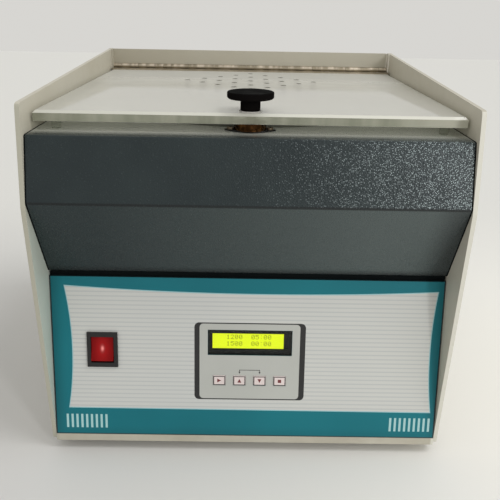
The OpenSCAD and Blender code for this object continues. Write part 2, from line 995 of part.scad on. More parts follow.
module motor_driver_board() {
    fin_n = 9;
    fin_pitch = board_w * 0.07;
    sink_d = board_d * 0.4;
    fin = [3, sink_d, 22];
    sink_base = [board_w * 0.64, sink_d, 5];
    controller = [20, 14, 3];
    color(green_board)
        translate([board_x, board_y, board_z]) {
            bare_board();
            block([-board_w * 0.33, -board_d / 20], sink_base);
            for (i = [0 : fin_n - 1])
                block([-board_w * 0.3 + i * fin_pitch, -board_d / 20], fin);
            block([-board_w * 0.3, -board_d * 0.35], controller);
        }
}

module power_switch_body() {
    opening_w = rocker_w + 2 * rocker_gap;
    opening_h = rocker_h + 2 * rocker_room;
    color(black)
        on_panel(rocker_x, rocker_v) {
            difference() {
                union() {
                    slab(bezel_w, bezel_h, overlay_t, overlay_t + bezel_t);
                    slab(switch_body_w, switch_body_h, -switch_depth, overlay_t + e);
                }
                slab(opening_w, opening_h, -rocker_depth - 3, overlay_t + bezel_t + cut);
                translate([0, 0, rocker_pivot_n])
                    rod_x(rocker_pin_d + 2 * run_fit, rocker_w + 2 * rocker_gap + rocker_wall);
            }
            for (x = [-6, 6])
                translate([x, 0, 0])
                    slab(1, 6, -switch_depth - switch_tab_l, -switch_depth + e);
        }
}

// The rocker rests with its upper end pressed in
rocker_section = [
    [-rocker_h / 2, 7],
    [0, 5.6],
    [rocker_h / 2, 7],
    [rocker_h / 2 - 3, -4],
    [0, -5.5],
    [3 - rocker_h / 2, -4]
];

module power_rocker() {
    color("firebrick")
        on_panel(rocker_x, rocker_v, rocker_pivot_n)
            rotate([-rocker_swing / 2, 0, 0]) {
                along_x(rocker_w)
                    polygon(rocker_section);
                rod_x(rocker_pin_d, rocker_w + 2 * rocker_gap + rocker_wall - 0.4);
            }
}

module key_cap(i) {
    flange_n = -plate_t - key_back_gap;
    color([0.86, 0.80, 0.79])
        on_panel(key_x(i), key_v) {
            slab(key_w, key_h, flange_n - e, overlay_t + key_proud);
            slab(key_w + 2 * key_flange_out, key_h + 2 * key_flange_out, flange_n - key_flange_t, flange_n);
            slab(4, 4, key_stem_n, flange_n - key_flange_t + e);
        }
}

module key_start() {
    key_cap(0);
}

module key_up() {
    key_cap(1);
}

module key_down() {
    key_cap(2);
}

module key_stop() {
    key_cap(3);
}

// Latch

module strike_plate() {
    x = strike_l / 2;
    y = strike_w / 2;
    color(black)
        difference() {
            translate([latch_x, latch_y, hood_z])
                linear_extrude(strike_t)
                    polygon([[-x, 0], [-x + 7, y * 0.7], [-x + 12, y], [x - 12, y], [x - 7, y * 0.7],
                        [x, 0], [x - 7, -y * 0.7], [x - 12, -y], [-x + 12, -y], [-x + 7, -y * 0.7]]);
            latch_slot(hood_z - cut, strike_z + cut);
            at_strike_screws()
                m3_hole();
        }
}

module latch_collar() {
    color(brass)
        translate([latch_x, latch_y, strike_z + latch_play])
            difference() {
                cylinder(d = collar_d, h = lid_under_z - strike_z - latch_play);
                translate([0, 0, -cut])
                    cylinder(d = spindle_d + 2 * run_fit, h = lid_gap + 2 * cut);
            }
}

module latch_washer() {
    color(steel)
        translate([latch_x, latch_y, lid_z])
            difference() {
                cylinder(d = washer_d, h = washer_t);
                translate([0, 0, -cut])
                    cylinder(d = lid_hole_d, h = washer_t + 2 * cut);
            }
}

module latch_knob() {
    r = knob_d / 2;
    stem_r = stem_d / 2;
    color(black)
        translate([latch_x, latch_y, lid_z + washer_t + latch_play])
            difference() {
                rotate_extrude($fn = 72)
                    polygon([[0, 0], [stem_r, 0], [stem_r, knob_h - knob_t - 1.2], [stem_r + 2, knob_h - knob_t],
                        [r - 1, knob_h - knob_t], [r, knob_h - knob_t + 1], [r, knob_h - 0.6],
                        [r - 0.6, knob_h], [0, knob_h]]);
                translate([0, 0, -cut])
                    cylinder(d = spindle_d, h = knob_h - 4 + cut);
            }
}

module latch_spindle() {
    color(steel)
        translate([latch_x, latch_y, 0]) {
            translate([0, 0, bar_top_z - bar_w])
                cylinder(d = spindle_d, h = spindle_top_z - bar_top_z + bar_w);
            translate([-bar_l / 2, -bar_w / 2, bar_top_z - bar_w])
                cube([bar_l, bar_w, bar_w]);
        }
}

// Lid and hinge

module lid_section(length) {
    polygon([
        [-length / 2, 0], [length / 2, 0], [length / 2, lid_t - lid_chamfer],
        [length / 2 - lid_chamfer, lid_t], [lid_chamfer - length / 2, lid_t],
        [-length / 2, lid_t - lid_chamfer]
    ]);
}

module lid_sheet() {
    depth = lid_back_y - lid_front_y;
    color(clear)
        difference() {
            translate([0, (lid_front_y + lid_back_y) / 2, lid_under_z])
                intersection() {
                    along_x(lid_w)
                        lid_section(depth);
                    rotate([0, 0, 90])
                        along_x(depth)
                            lid_section(lid_w);
                }
            for (i = [0 : vent_n - 1], j = [0 : vent_n - 1])
                translate([(i - j) * vent_pitch, vent_y + (i + j - vent_n + 1) * vent_pitch, lid_under_z - cut])
                    cylinder(d = vent_d, h = lid_t + 2 * cut, $fn = 24);
            translate([latch_x, latch_y, lid_under_z - cut])
                cylinder(d = lid_hole_d, h = lid_t + 2 * cut);
            at_lid_leaf_screws()
                translate([0, 0, -lid_t])
                    cylinder(d = m3_d, h = lid_t + cut);
        }
}

module lid_bumpers() {
    color(clear)
        mirror_x()
            translate([lid_w / 2 - bumper_in, lid_front_y + 9.5, hood_z + latch_play])
                cylinder(d1 = bumper_d - 1, d2 = bumper_d, h = lid_gap - latch_play);
}

// Knuckles of one leaf: every second one, starting at 0 or 1
module knuckles(first, bore) {
    for (i = [first : 2 : knuckle_n - 1])
        translate([(i - (knuckle_n - 1) / 2) * knuckle_l, hinge_y, hinge_z])
            difference() {
                union() {
                    rod_x(barrel_d, knuckle_l - knuckle_gap);
                    children();
                }
                rod_x(bore, knuckle_l + cut);
            }
}

module knuckle_tab(y0, y1, z0, z1) {
    translate([-(knuckle_l - knuckle_gap) / 2, y0, z0])
        cube([knuckle_l - knuckle_gap, y1 - y0, z1 - z0]);
}

module hinge_cabinet_leaf() {
    color(steel)
        difference() {
            union() {
                translate([-leaf_l / 2, back_in_y - leaf_t, leaf_foot_z])
                    cube([leaf_l, leaf_t, hinge_z - leaf_clear - leaf_foot_z]);
                knuckles(0, pin_d)
                    knuckle_tab(barrel_d / 2 + wall_gap - leaf_t, barrel_d / 2 + wall_gap, -leaf_clear - e, 0);
            }
            at_cabinet_leaf_screws()
                flat_screw(m3_d, m3_head_d, leaf_t, leaf_t + cut);
        }
}

module hinge_lid_leaf() {
    color(steel)
        difference() {
            union() {
                translate([-leaf_l / 2, hinge_y - leaf_w, lid_z])
                    cube([leaf_l, leaf_w - leaf_clear, leaf_t]);
                knuckles(1, pin_d + 2 * run_fit)
                    knuckle_tab(-leaf_clear - e, 0, -barrel_d / 2, leaf_t - barrel_d / 2);
            }
            at_lid_leaf_screws()
                flat_screw(m3_d, m3_head_d, leaf_t, leaf_t + cut);
        }
}

module hinge_pin() {
    color(steel)
        translate([0, hinge_y, hinge_z])
            rod_x(pin_d, leaf_l);
}

module hinge_lid_screws() {
    color(steel)
        at_lid_leaf_screws()
            flat_screw(m3_d, m3_head_d, leaf_t, lid_t);
}

// Chamber

module chamber_bowl() {
    r = bowl_corner_r;
    inner = concat(
        [[gaiter_r, bowl_z]],
        [for (i = [0 : arc_steps])
            [bowl_r - r + r * sin(90 * i / arc_steps), bowl_z + r - r * cos(90 * i / arc_steps)]],
        [[bowl_r, hood_under_z - sheet_t], [opening_r, hood_under_z - sheet_t]]
    );
    outer = concat(
        [[opening_r, hood_under_z], [bowl_out_r, hood_under_z]],
        [for (i = [arc_steps : -1 : 0])
            [bowl_r - r + (r + sheet_t) * sin(90 * i / arc_steps),
                bowl_z + r - (r + sheet_t) * cos(90 * i / arc_steps)]],
        [[gaiter_r, bowl_z - sheet_t]]
    );
    color(steel)
        translate([0, bowl_y, 0])
            rotate_extrude($fn = 96)
                polygon(concat(inner, outer));
}

module bowl_rim_seal() {
    top = hood_z;
    low = hood_under_z - sheet_t;
    color(rubber)
        translate([0, bowl_y, 0])
            rotate_extrude($fn = 96)
                polygon([
                    [seal_in_r, low - seal_t], [seal_out_r, low - seal_t], [seal_out_r, low],
                    [opening_r, low], [opening_r, top], [seal_out_r, top],
                    [seal_out_r - 1, top + seal_t], [seal_in_r + 1, top + seal_t], [seal_in_r, top + 1]
                ]);
}

module shaft_gaiter() {
    boss_r = boss_d / 2;
    low = bowl_z - sheet_t;
    color(rubber)
        translate([0, bowl_y, 0])
            rotate_extrude()
                polygon([
                    [boss_r, upper_bell_z + bell_t], [boss_r + 3, upper_bell_z + bell_t],
                    [boss_r + 3, low], [gaiter_r - 2, low], [gaiter_r - 2, low - 1.5],
                    [gaiter_r + 3, low - 1.5], [gaiter_r + 3, low], [gaiter_r, low],
                    [gaiter_r, bowl_z], [gaiter_r + 3, bowl_z], [gaiter_r + 3, bowl_z + 1.5],
                    [boss_r, bowl_z + 1.5]
                ]);
}

// Rotor

module at_shields() {
    translate([0, bowl_y, 0])
        for (i = [0 : shield_n - 1])
            rotate([0, 0, i * 360 / shield_n])
                translate([foot_ring_r, 0, foot_ring_z])
                    rotate([0, -tube_tilt, 0])
                        children();
}

module rotor_head() {
    color([0.62, 0.64, 0.66])
        difference() {
            translate([0, bowl_y, 0])
                rotate_extrude($fn = 96)
                    polygon([
                        [0, hub_z], [hub_r, hub_z], [hub_r, dish_under(hub_r)],
                        [dish_r, dish_under(dish_r)], [dish_r + 3, dish_under(dish_r) + 4],
                        [dish_r + 3, dish_top(dish_r) + 3], [dish_r, dish_top(dish_r) + 3],
                        [dish_r - 2, dish_top(dish_r - 2)], [hub_r + 3.2, hub_top_z],
                        [0, hub_top_z]
                    ]);
            translate([0, bowl_y, hub_z - cut])
                cylinder(d = shaft_d, h = hub_top_z - hub_z + 2 * cut);
            at_shields() {
                cylinder(d = shield_od + 2 * shield_play, h = shield_l + cut);
                translate([0, 0, shield_l])
                    cylinder(d = shield_collar_d + 2 * shield_play, h = shield_reach);
            }
        }
}

module tube_shields() {
    color(steel)
        at_shields()
            difference() {
                union() {
                    cylinder(d = shield_od, h = shield_l + e);
                    translate([0, 0, shield_l])
                        cylinder(d = shield_collar_d, h = collar_t);
                }
                translate([0, 0, shield_floor_t + cushion_t])
                    cylinder(d = shield_bore, h = shield_l);
                translate([0, 0, shield_floor_t])
                    cylinder(d = cushion_d, h = shield_l);
            }
}

module shield_cushions() {
    color(rubber)
        at_shields()
            translate([0, 0, shield_floor_t])
                cylinder(d = cushion_d, h = cushion_t);
}

module rotor_nut() {
    color(steel)
        translate([0, bowl_y, hub_top_z])
            difference() {
                union() {
                    cylinder(d = nut_flange_d, h = nut_flange_t);
                    cylinder(d = nut_d, h = nut_flange_t + nut_h, $fn = 6);
                    translate([0, 0, nut_flange_t + nut_h])
                        intersection() {
                            sphere(d = nut_d * 0.84);
                            cylinder(d = nut_d, h = nut_d);
                        }
                }
                translate([0, 0, -cut])
                    cylinder(d = thread_d, h = shaft_tip_z - hub_top_z + cut);
            }
}

// Motor

module motor_mount_plate() {
    color(steel)
        difference() {
            translate([-mount_w / 2, bowl_y - mount_d / 2, mount_z])
                cube([mount_w, mount_d, mount_t]);
            translate([0, bowl_y, mount_z - cut])
                cylinder(d = shaft_d + 14, h = mount_t + 2 * cut);
            at_isolators()
                translate([0, 0, mount_z - cut])
                    cylinder(d = isolator_bolt_d, h = mount_t + 2 * cut);
            at_tie_bolts()
                translate([0, 0, mount_z - cut])
                    cylinder(d = m4_d, h = mount_t + 2 * cut);
        }
}

module motor_isolators() {
    color(rubber)
        at_isolators()
            translate([0, 0, floor_z])
                difference() {
                    cylinder(d = isolator_d, h = isolator_h);
                    translate([0, 0, -cut])
                        cylinder(d = isolator_bolt_d, h = isolator_h + 2 * cut);
                }
}

module isolator_bolts() {
    head_h = 4;
    color(steel)
        at_isolators() {
            translate([0, 0, base_z - head_h])
                cylinder(d = 11, h = head_h, $fn = 6);
            translate([0, 0, base_z - e])
                cylinder(d = isolator_bolt_d, h = mount_z + mount_t - base_z + 7);
            translate([0, 0, mount_z + mount_t])
                cylinder(d = 11, h = 5, $fn = 6);
        }
}

module motor_can() {
    color(slate)
        translate([0, bowl_y, can_z])
            difference() {
                cylinder(d = can_d, h = can_h);
                translate([0, 0, -cut])
                    cylinder(r = stator_r, h = can_h + 2 * cut);
            }
}

module motor_lower_bell() {
    color(steel)
        difference() {
            translate([0, bowl_y, lower_bell_z])
                cylinder(d = bell_d, h = bell_t);
            translate([0, bowl_y, can_z - bearing_t])
                cylinder(d = bearing_d, h = bearing_t + cut);
            translate([0, bowl_y, lower_bell_z - cut])
                cylinder(d = shaft_d + 6, h = bell_t);
            at_tie_bolts()
                translate([0, 0, lower_bell_z - cut])
                    cylinder(d = m4_d, h = bell_t + 2 * cut);
        }
}

module motor_upper_bell() {
    color(steel)
        difference() {
            translate([0, bowl_y, upper_bell_z]) {
                cylinder(d = bell_d, h = bell_t);
                cylinder(d = boss_d, h = bell_t + motor_gap + sheet_t + 1);
            }
            translate([0, bowl_y, upper_bell_z - cut])
                cylinder(d = bearing_d, h = bearing_t + cut);
            translate([0, bowl_y, upper_bell_z])
                cylinder(d = shaft_d + 8, h = bell_t + motor_gap + sheet_t + 2);
            at_tie_bolts()
                translate([0, 0, upper_bell_z - cut])
                    cylinder(d = m4_d, h = bell_t - 2 + cut);
        }
}

module motor_bolts() {
    color(steel)
        at_tie_bolts() {
            translate([0, 0, mount_z - 4])
                cylinder(d = 7, h = 4);
            translate([0, 0, mount_z - e])
                cylinder(d = m4_d, h = upper_bell_z + bell_t - 2 - mount_z);
        }
}

module stator_core() {
    color([0.45, 0.46, 0.48])
        translate([0, bowl_y, stator_z])
            difference() {
                cylinder(r = stator_r, h = stator_h);
                translate([0, 0, -cut])
                    cylinder(r = stator_in_r, h = stator_h + 2 * cut);
                for (i = [0 : stator_teeth - 1])
                    rotate([0, 0, (i + 0.5) * 360 / stator_teeth])
                        translate([0, 0, -cut])
                            linear_extrude(stator_h + 2 * cut)
                                polygon([[stator_in_r - 2, -1.2], [stator_in_r + 2, -1.2],
                                    [stator_in_r + 2.6, -3], [stator_r - 5, -6.2], [stator_r - 5, 6.2],
                                    [stator_in_r + 2.6, 3], [stator_in_r + 2, 1.2], [stator_in_r - 2, 1.2]]);
            }
}

module stator_coils() {
    inner_r = stator_in_r + slot_depth / 5;
    outer_r = stator_r - slot_depth / 3;
    coil_t = slot_depth / 6;
    color(copper)
        translate([0, bowl_y, stator_z + stator_h / 2])
            for (i = [0 : stator_teeth - 1])
                rotate([0, 0, i * 360 / stator_teeth])
                    for (side = [-1, 1])
                        translate([inner_r, -tooth_w / 2, side > 0 ? stator_h / 2 : -stator_h / 2 - coil_t])
                            cube([outer_r - inner_r, tooth_w, coil_t]);
}

module bearing(z, shaft_bore) {
    color(steel)
        translate([0, bowl_y, z])
            difference() {
                cylinder(d = bearing_d, h = bearing_t);
                translate([0, 0, -cut])
                    cylinder(d = shaft_bore, h = bearing_t + 2 * cut);
                for (face = [-1, bearing_t - 0.6])
                    translate([0, 0, face])
                        difference() {
                            cylinder(d = bearing_d - 5, h = 1.6);
                            translate([0, 0, -cut])
                                cylinder(d = shaft_bore + 5, h = 4);
                        }
            }
}

module upper_bearing() {
    bearing(upper_bell_z, shaft_d + 2 * run_fit);
}

module lower_bearing() {
    bearing(can_z - bearing_t, shaft_d + 2 * run_fit);
}

module motor_shaft() {
    color(steel)
        translate([0, bowl_y, 0]) {
            translate([0, 0, shaft_foot_z])
                cylinder(d = shaft_d, h = hub_top_z - shaft_foot_z - 1);
            translate([0, 0, hub_z - 3])
                cylinder(d = shaft_shoulder_d, h = 3);
            translate([0, 0, hub_top_z - 2])
                cylinder(d = thread_d, h = shaft_tip_z - hub_top_z + 2);
        }
}

module magnet_rotor() {
    color([0.35, 0.36, 0.38])
        translate([0, bowl_y, stator_z - 1])
            difference() {
                cylinder(r = stator_in_r - magnet_gap, h = stator_h + 2);
                translate([0, 0, -cut])
                    cylinder(d = shaft_d, h = stator_h + 4);
            }
}

// Back fittings and leads

module mains_inlet() {
    color(black)
        translate([inlet_x, 0, inlet_z])
            difference() {
                union() {
                    translate([-inlet_w / 2, back_out_y, -inlet_h / 2])
                        cube([inlet_w, fitting_proud, inlet_h]);
                    translate([-inlet_body_w / 2, back_out_y - inlet_depth, -inlet_body_h / 2])
                        cube([inlet_body_w, inlet_depth + e, inlet_body_h]);
                }
                difference() {
                    translate([-socket_w / 2, back_out_y + fitting_proud - socket_depth, -socket_h / 2])
                        cube([socket_w, socket_depth + cut, socket_h]);
                    for (pin = [[-7, -1], [0, 3], [7, -1]])
                        translate([pin[0] - 1, back_out_y + fitting_proud - socket_depth - e, pin[1] - 2])
                            cube([2, socket_depth - 7, 4]);
                }
                for (side = [-1, 1])
                    translate([side * inlet_screw_x, back_out_y - cut, 0])
                        rod_y(m3_d, fitting_proud + 2 * cut);
            }
}

module fuse_holder() {
    color(black)
        translate([fuse_x, 0, inlet_z]) {
            translate([0, back_out_y, 0])
                rod_y(fuse_cap_d, fitting_proud + 1);
            translate([0, back_out_y - 30, 0])
                rod_y(fuse_d, 30 + e);
            translate([-1, back_out_y - 36, -3])
                cube([2, 6 + e, 6]);
        }
}

// A lead along straight runs with round joints
module lead(points, d) {
    for (i = [0 : len(points) - 2]) {
        run = points[i + 1] - points[i];
        translate(points[i])
            rotate([0, acos(run[2] / norm(run)), atan2(run[1], run[0])])
                cylinder(d = d, h = norm(run), $fn = lead_sides);
        if (i > 0)
            translate(points[i])
                sphere(d = d * lead_joint, $fn = lead_sides);
    }
}

// A lead that leaves two boards straight up, from one place in x and y to another
module link(from, to, d) {
    top = board_z + pcb_t;
    lead([
        [from[0], from[1], top],
        [from[0], from[1], top + lead_run],
        [to[0], to[1], top + lead_run],
        [to[0], to[1], top]
    ], d);
}

module mains_lead() {
    lane_x = -board_x - board_w / 2 - mains_lead_d / 2 - 2;
    lane_z = floor_z + mains_lead_d * lead_joint / 2;
    lane_front_y = board_y - board_d / 2 - lead_run;
    inlet_back_y = back_out_y - inlet_depth;
    lead([
        [inlet_x, inlet_back_y, inlet_z],
        [inlet_x, inlet_back_y - lead_run, inlet_z],
        [lane_x, inlet_back_y - 4 * lead_run, lane_z],
        [lane_x, board_y + board_d / 2 - lead_run, lane_z],
        [lane_x, lane_front_y + lead_run, inlet_z],
        panel_point(rocker_x, rocker_v, -switch_depth - switch_tab_l - lead_run),
        panel_point(rocker_x, rocker_v, -switch_depth - switch_tab_l)
    ], mains_lead_d);
}

module motor_lead() {
    can_side_y = bowl_y - can_d / 2;
    can_mid_z = can_z + can_h / 2;
    x = board_x - 10;
    y = board_y + board_d / 2 - 6;
    lead([
        [x, y, board_z + pcb_t],
        [x, y, board_z + pcb_t + lead_run],
        [0, can_side_y - lead_run, can_mid_z],
        [0, can_side_y, can_mid_z]
    ], motor_lead_d);
}

module signal_lead() {
    v = control_board_v - control_board_h / 2 + plug_margin;
    n = control_board_n - pcb_t - plug_h;
    x = board_x - board_w / 2 + 8;
    y = board_y - 20;
    lead([
        panel_point(panel_shift, v, n),
        panel_point(panel_shift, v, n - lead_run),
        [x, y, board_z + pcb_t + lead_run],
        [x, y, board_z + pcb_t]
    ], signal_lead_d);
}

module internal_leads() {
    link_y = board_y + board_d / 2 - 10;
    link_x = board_x - board_w / 2 + 5;
    color([0.16, 0.16, 0.17]) {
        mains_lead();
        motor_lead();
        signal_lead();
        link([-link_x, link_y], [link_x, link_y], signal_lead_d);
    }
}

base_tray();
rubber_feet();
foot_screws();
left_side_panel();
right_side_panel();
side_panel_screws();
back_panel();
m3_screws();
top_hood();
hood_side_seals();
waist_seal();
control_panel();
panel_overlay();
display_window();
display_module();
control_board();
key_switches();
board_standoffs();
power_supply_board();
motor_driver_board();
power_switch_body();
power_rocker();
key_start();
key_up();
key_down();
key_stop();
strike_plate();
chamber_bowl();
bowl_rim_seal();
shaft_gaiter();
hinge_cabinet_leaf();
hinge_pin();
lid_sheet();
hinge_lid_leaf();
hinge_lid_screws();
lid_bumpers();
latch_collar();
latch_knob();
latch_spindle();
latch_washer();
motor_mount_plate();
motor_isolators();
isolator_bolts();
motor_can();
motor_upper_bell();
motor_lower_bell();
motor_bolts();
stator_core();
stator_coils();
upper_bearing();
lower_bearing();
motor_shaft();
magnet_rotor();
rotor_head();
tube_shields();
shield_cushions();
rotor_nut();
mains_inlet();
fuse_holder();
internal_leads();
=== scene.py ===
"""The looks of a bench-top laboratory centrifuge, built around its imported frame."""
import json
import math

import bmesh
import bpy
from mathutils import Matrix, Vector
from mathutils.geometry import tessellate_polygon

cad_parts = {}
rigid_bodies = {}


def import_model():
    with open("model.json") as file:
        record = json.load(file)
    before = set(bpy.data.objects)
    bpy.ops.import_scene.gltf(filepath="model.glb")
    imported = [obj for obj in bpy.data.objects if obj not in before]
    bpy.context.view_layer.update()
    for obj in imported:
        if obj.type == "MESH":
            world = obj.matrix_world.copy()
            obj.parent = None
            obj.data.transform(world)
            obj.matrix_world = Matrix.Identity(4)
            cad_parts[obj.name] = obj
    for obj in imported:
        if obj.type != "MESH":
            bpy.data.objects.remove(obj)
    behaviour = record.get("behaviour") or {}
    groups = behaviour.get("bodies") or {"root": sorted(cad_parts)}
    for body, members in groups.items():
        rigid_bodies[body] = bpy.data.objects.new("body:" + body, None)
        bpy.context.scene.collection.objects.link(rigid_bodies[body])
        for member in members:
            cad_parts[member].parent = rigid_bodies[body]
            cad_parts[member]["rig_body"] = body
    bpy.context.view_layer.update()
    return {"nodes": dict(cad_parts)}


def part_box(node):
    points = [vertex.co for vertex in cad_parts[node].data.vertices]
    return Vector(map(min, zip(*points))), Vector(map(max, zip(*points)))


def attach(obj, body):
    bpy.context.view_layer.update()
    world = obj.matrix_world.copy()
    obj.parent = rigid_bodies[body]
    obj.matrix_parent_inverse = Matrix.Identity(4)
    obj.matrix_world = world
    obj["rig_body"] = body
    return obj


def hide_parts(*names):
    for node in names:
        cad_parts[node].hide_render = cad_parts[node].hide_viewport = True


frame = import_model()
nodes = frame["nodes"]
scene = bpy.context.scene
MM = 0.001

# Camera: its place in metres, the angles by which it looks down, turns to the right and rolls, and
# its focal length in pixels of a frame of FRAME_PIXELS
CAMERA_PLACE = Vector((-0.002777, -0.596398, 0.371217))
CAMERA_DOWN = math.radians(22.551)
CAMERA_TURN = math.radians(0.493)
CAMERA_ROLL = math.radians(1.096)
FOCAL_PIXELS = 601.57
FRAME_PIXELS = 500
SENSOR_WIDTH = 36

# Light: the way the sun shines, and a tall window on the right that faces a point, in metres
SUN_WAY = Vector((-0.52, 0.12, -0.85))
WINDOW_PLACE = Vector((0.86, -1.45, 0.80))
WINDOW_TARGET = Vector((0.12, -0.15, 0.23))
WINDOW_SIZE = (0.16, 0.32)

# Where the finishes change along an axis, from and to, in metres
WIDTH_X = (-0.16, 0.16)
SHEET_EDGE_X = (0.1635, 0.165)
LEFT_PANEL_X = (-0.01, 0.01)
BACK_LEFT_X = (-0.16, 0.05)
RAIL_LEFT_X = (-0.1, 0.1)
RAIL_BACK_Y = (0.10, 0.14)
BACK_PANEL_Y = (0.155, 0.16)
LOW_BLOTCH_Z = (0.0, 0.09)
UNDER_HOOD_Z = (0.20, 0.24)
HOOD_UNDER_X = (-0.12, 0.10)
HOOD_RIGHT_X = (0.135, 0.162)
GLINT_COUNT_X = (0.0, 0.165)
GLINT_LIGHT_X = (-0.02, 0.165)
PAINTED_TOP_LIGHT_Y = (-0.155, -0.136)
OVERLAY_SIDE_X = (0.154, 0.1665)
OVERLAY_FOOT_Z = (0.017, 0.026)
LID_GLOSS_Y = (-0.04, 0.12)
LID_PALE_END_X = (0.10, 0.158)
HINGE_TOP_Z = (0.2955, 0.2965)
FLOOR_X = (-0.35, 0.35)
FLOOR_Y = (-0.15, 0.6)

# Hood: the height of its crest, how far the crest's dark line and the waist's shade reach, all in
# metres, and the pitch of its paint's bumps in millimetres
CREST_Z = 0.2290
CREST_LINE = (0.0005, 0.0016)
WAIST_SHADE = 0.008
GLINT = 1.05

# Casework: the angles from which an edge is rounded, stays a crease, or is more than a seam of a
# flat face, and how near to the lid's outline a face belongs to its cut edge, in metres
ROUNDED_ANGLE = math.radians(30)
CREASE_ANGLE = math.radians(45)
FLAT_ANGLE = math.radians(0.5)
LID_MARGIN = 0.003

# Control panel, in millimetres across (x) and up the slope (v) from its bottom edge. A box is
# x and v of its lower left corner, then of its upper right one. A size is width, then height.
PANEL_FLANGE = 12
OVERLAY_T = 0.5
INK_ROOT = 0.05
INK_LAYER = 0.01
INK_T = 0.03
STRIPE_PITCH = 3.8
STRIPE_BLUR = (0.06, 0.22)
BLOCK = (-44.9, 34.4, 50.0, 104.1)
BLOCK_R = 4
BLOCK_INNER = (-40.5, 35.4, 45.3, 103.1)
BLOCK_INNER_R = 3.2
FRAME_LAP = 4
SWITCH_V = 78.9
SWITCH_HOLE = (22.4, 25.8)
WINDOW_HOLE = (72.2, 22.7)

# The field's corners from the lower left, each with the bow of the side that leads to the next
FIELD_SIDES = [
    ((-153.3, 25.7), 0),
    ((160.8, 24.9), 3.8),
    ((160.1, 133.0), 4.8),
    ((-153.6, 134.4), 4.9),
]
FIELD_MIDDLE_V = 80
FIELD_EDGE = 0.8

# The two groups of upright bars under the field
BAR_STARTS = (-156.6, 126.0)
BARS = 9
BAR_PITCH = 4.22
BAR_W = 1.9
BAR_LOW, BAR_HIGH = 6.4, 19.0

# Keys: the holes for them, their faces and rims, how far they stand proud, and their signs
KEY_NODES = ("key_start", "key_up", "key_down", "key_stop")
KEY_BODIES = ("start_key", "up_key", "down_key", "stop_key")
KEY_HOLE = (11.0, 9.0)
KEY_W, KEY_H = 10.2, 8.2
KEY_RIM = 0.7
KEY_PROUD = 0.7
SIGN = 1.7
SQUARE = 0.85

# The bracket over the two middle keys: its heights above them, half its line and its arrow heads
BRACKET_LOW, BRACKET_HIGH = 6.6, 9.6
BRACKET_LINE = 0.25
ARROW_W, ARROW_UP, ARROW_DOWN = 0.9, 1.4, 0.4

# Display: its lit area, the depth below the panel's face, and its letters of 5 by 7 dots
LCD_BOX = (-31.8, 80.0, 31.6, 94.7)
LCD_DEPTH = -3.15
LCD_T = 0.04
LCD_ROWS = ("   1200  05:00  ", "   1500  00:00  ")
LETTER_PITCH = 3.55
LETTER_INSET = 0.35
ROW_PITCH = 5.95
DOT = 0.56
DOT_FILL = 0.88
LETTERS = {
    "0": "01110 10001 10011 10101 11001 10001 01110",
    "1": "00100 01100 00100 00100 00100 00100 01110",
    "2": "01110 10001 00001 00010 00100 01000 11111",
    "5": "11111 10000 11110 00001 00001 10001 01110",
    ":": "00000 00100 00000 00000 00000 00100 00000",
    " ": "00000 00000 00000 00000 00000 00000 00000",
}

# Leads: the radius and the corners of the route, and how far a bend reaches, in millimetres
LEADS = {
    "mains_lead": (2.5, [
        (-110, 145, 57), (-110, 133, 57), (-146.5, 97, 13.8), (-146.5, -66.5, 13.8),
        (-146.5, -134.5, 57), (-123.2, -113.95, 85.4), (-123.2, -125.71, 87.78),
    ]),
    "motor_lead": (2.0, [(82, -60.5, 20.6), (82, -60.5, 32.6), (0, -36.5, 66), (0, -24.5, 66)]),
    "signal_lead": (1.5, [
        (2.6, -145.19, 45.2), (2.6, -133.43, 42.82), (50, -114.5, 32.6), (50, -114.5, 20.6),
    ]),
    "link_lead": (1.5, [
        (-47, -64.5, 20.6), (-47, -64.5, 32.6), (47, -64.5, 32.6), (47, -64.5, 20.6),
    ]),
}
LEAD_BEND = 9.0

# Sockets of a colour Mix node, whose names are shared with its other kinds
MIX_FACTOR, MIX_A, MIX_B, MIX_RESULT = 0, 6, 7, 2


def linear(r, g, b):
    """An sRGB colour of 0 to 255 as linear numbers."""
    return tuple(
        c / 12.92 if c <= 0.04045 else ((c + 0.055) / 1.055) ** 2.4
        for c in (r / 255, g / 255, b / 255)
    )


def scaled(colour, share):
    return tuple(min(1, c * share) for c in colour)


# Materials

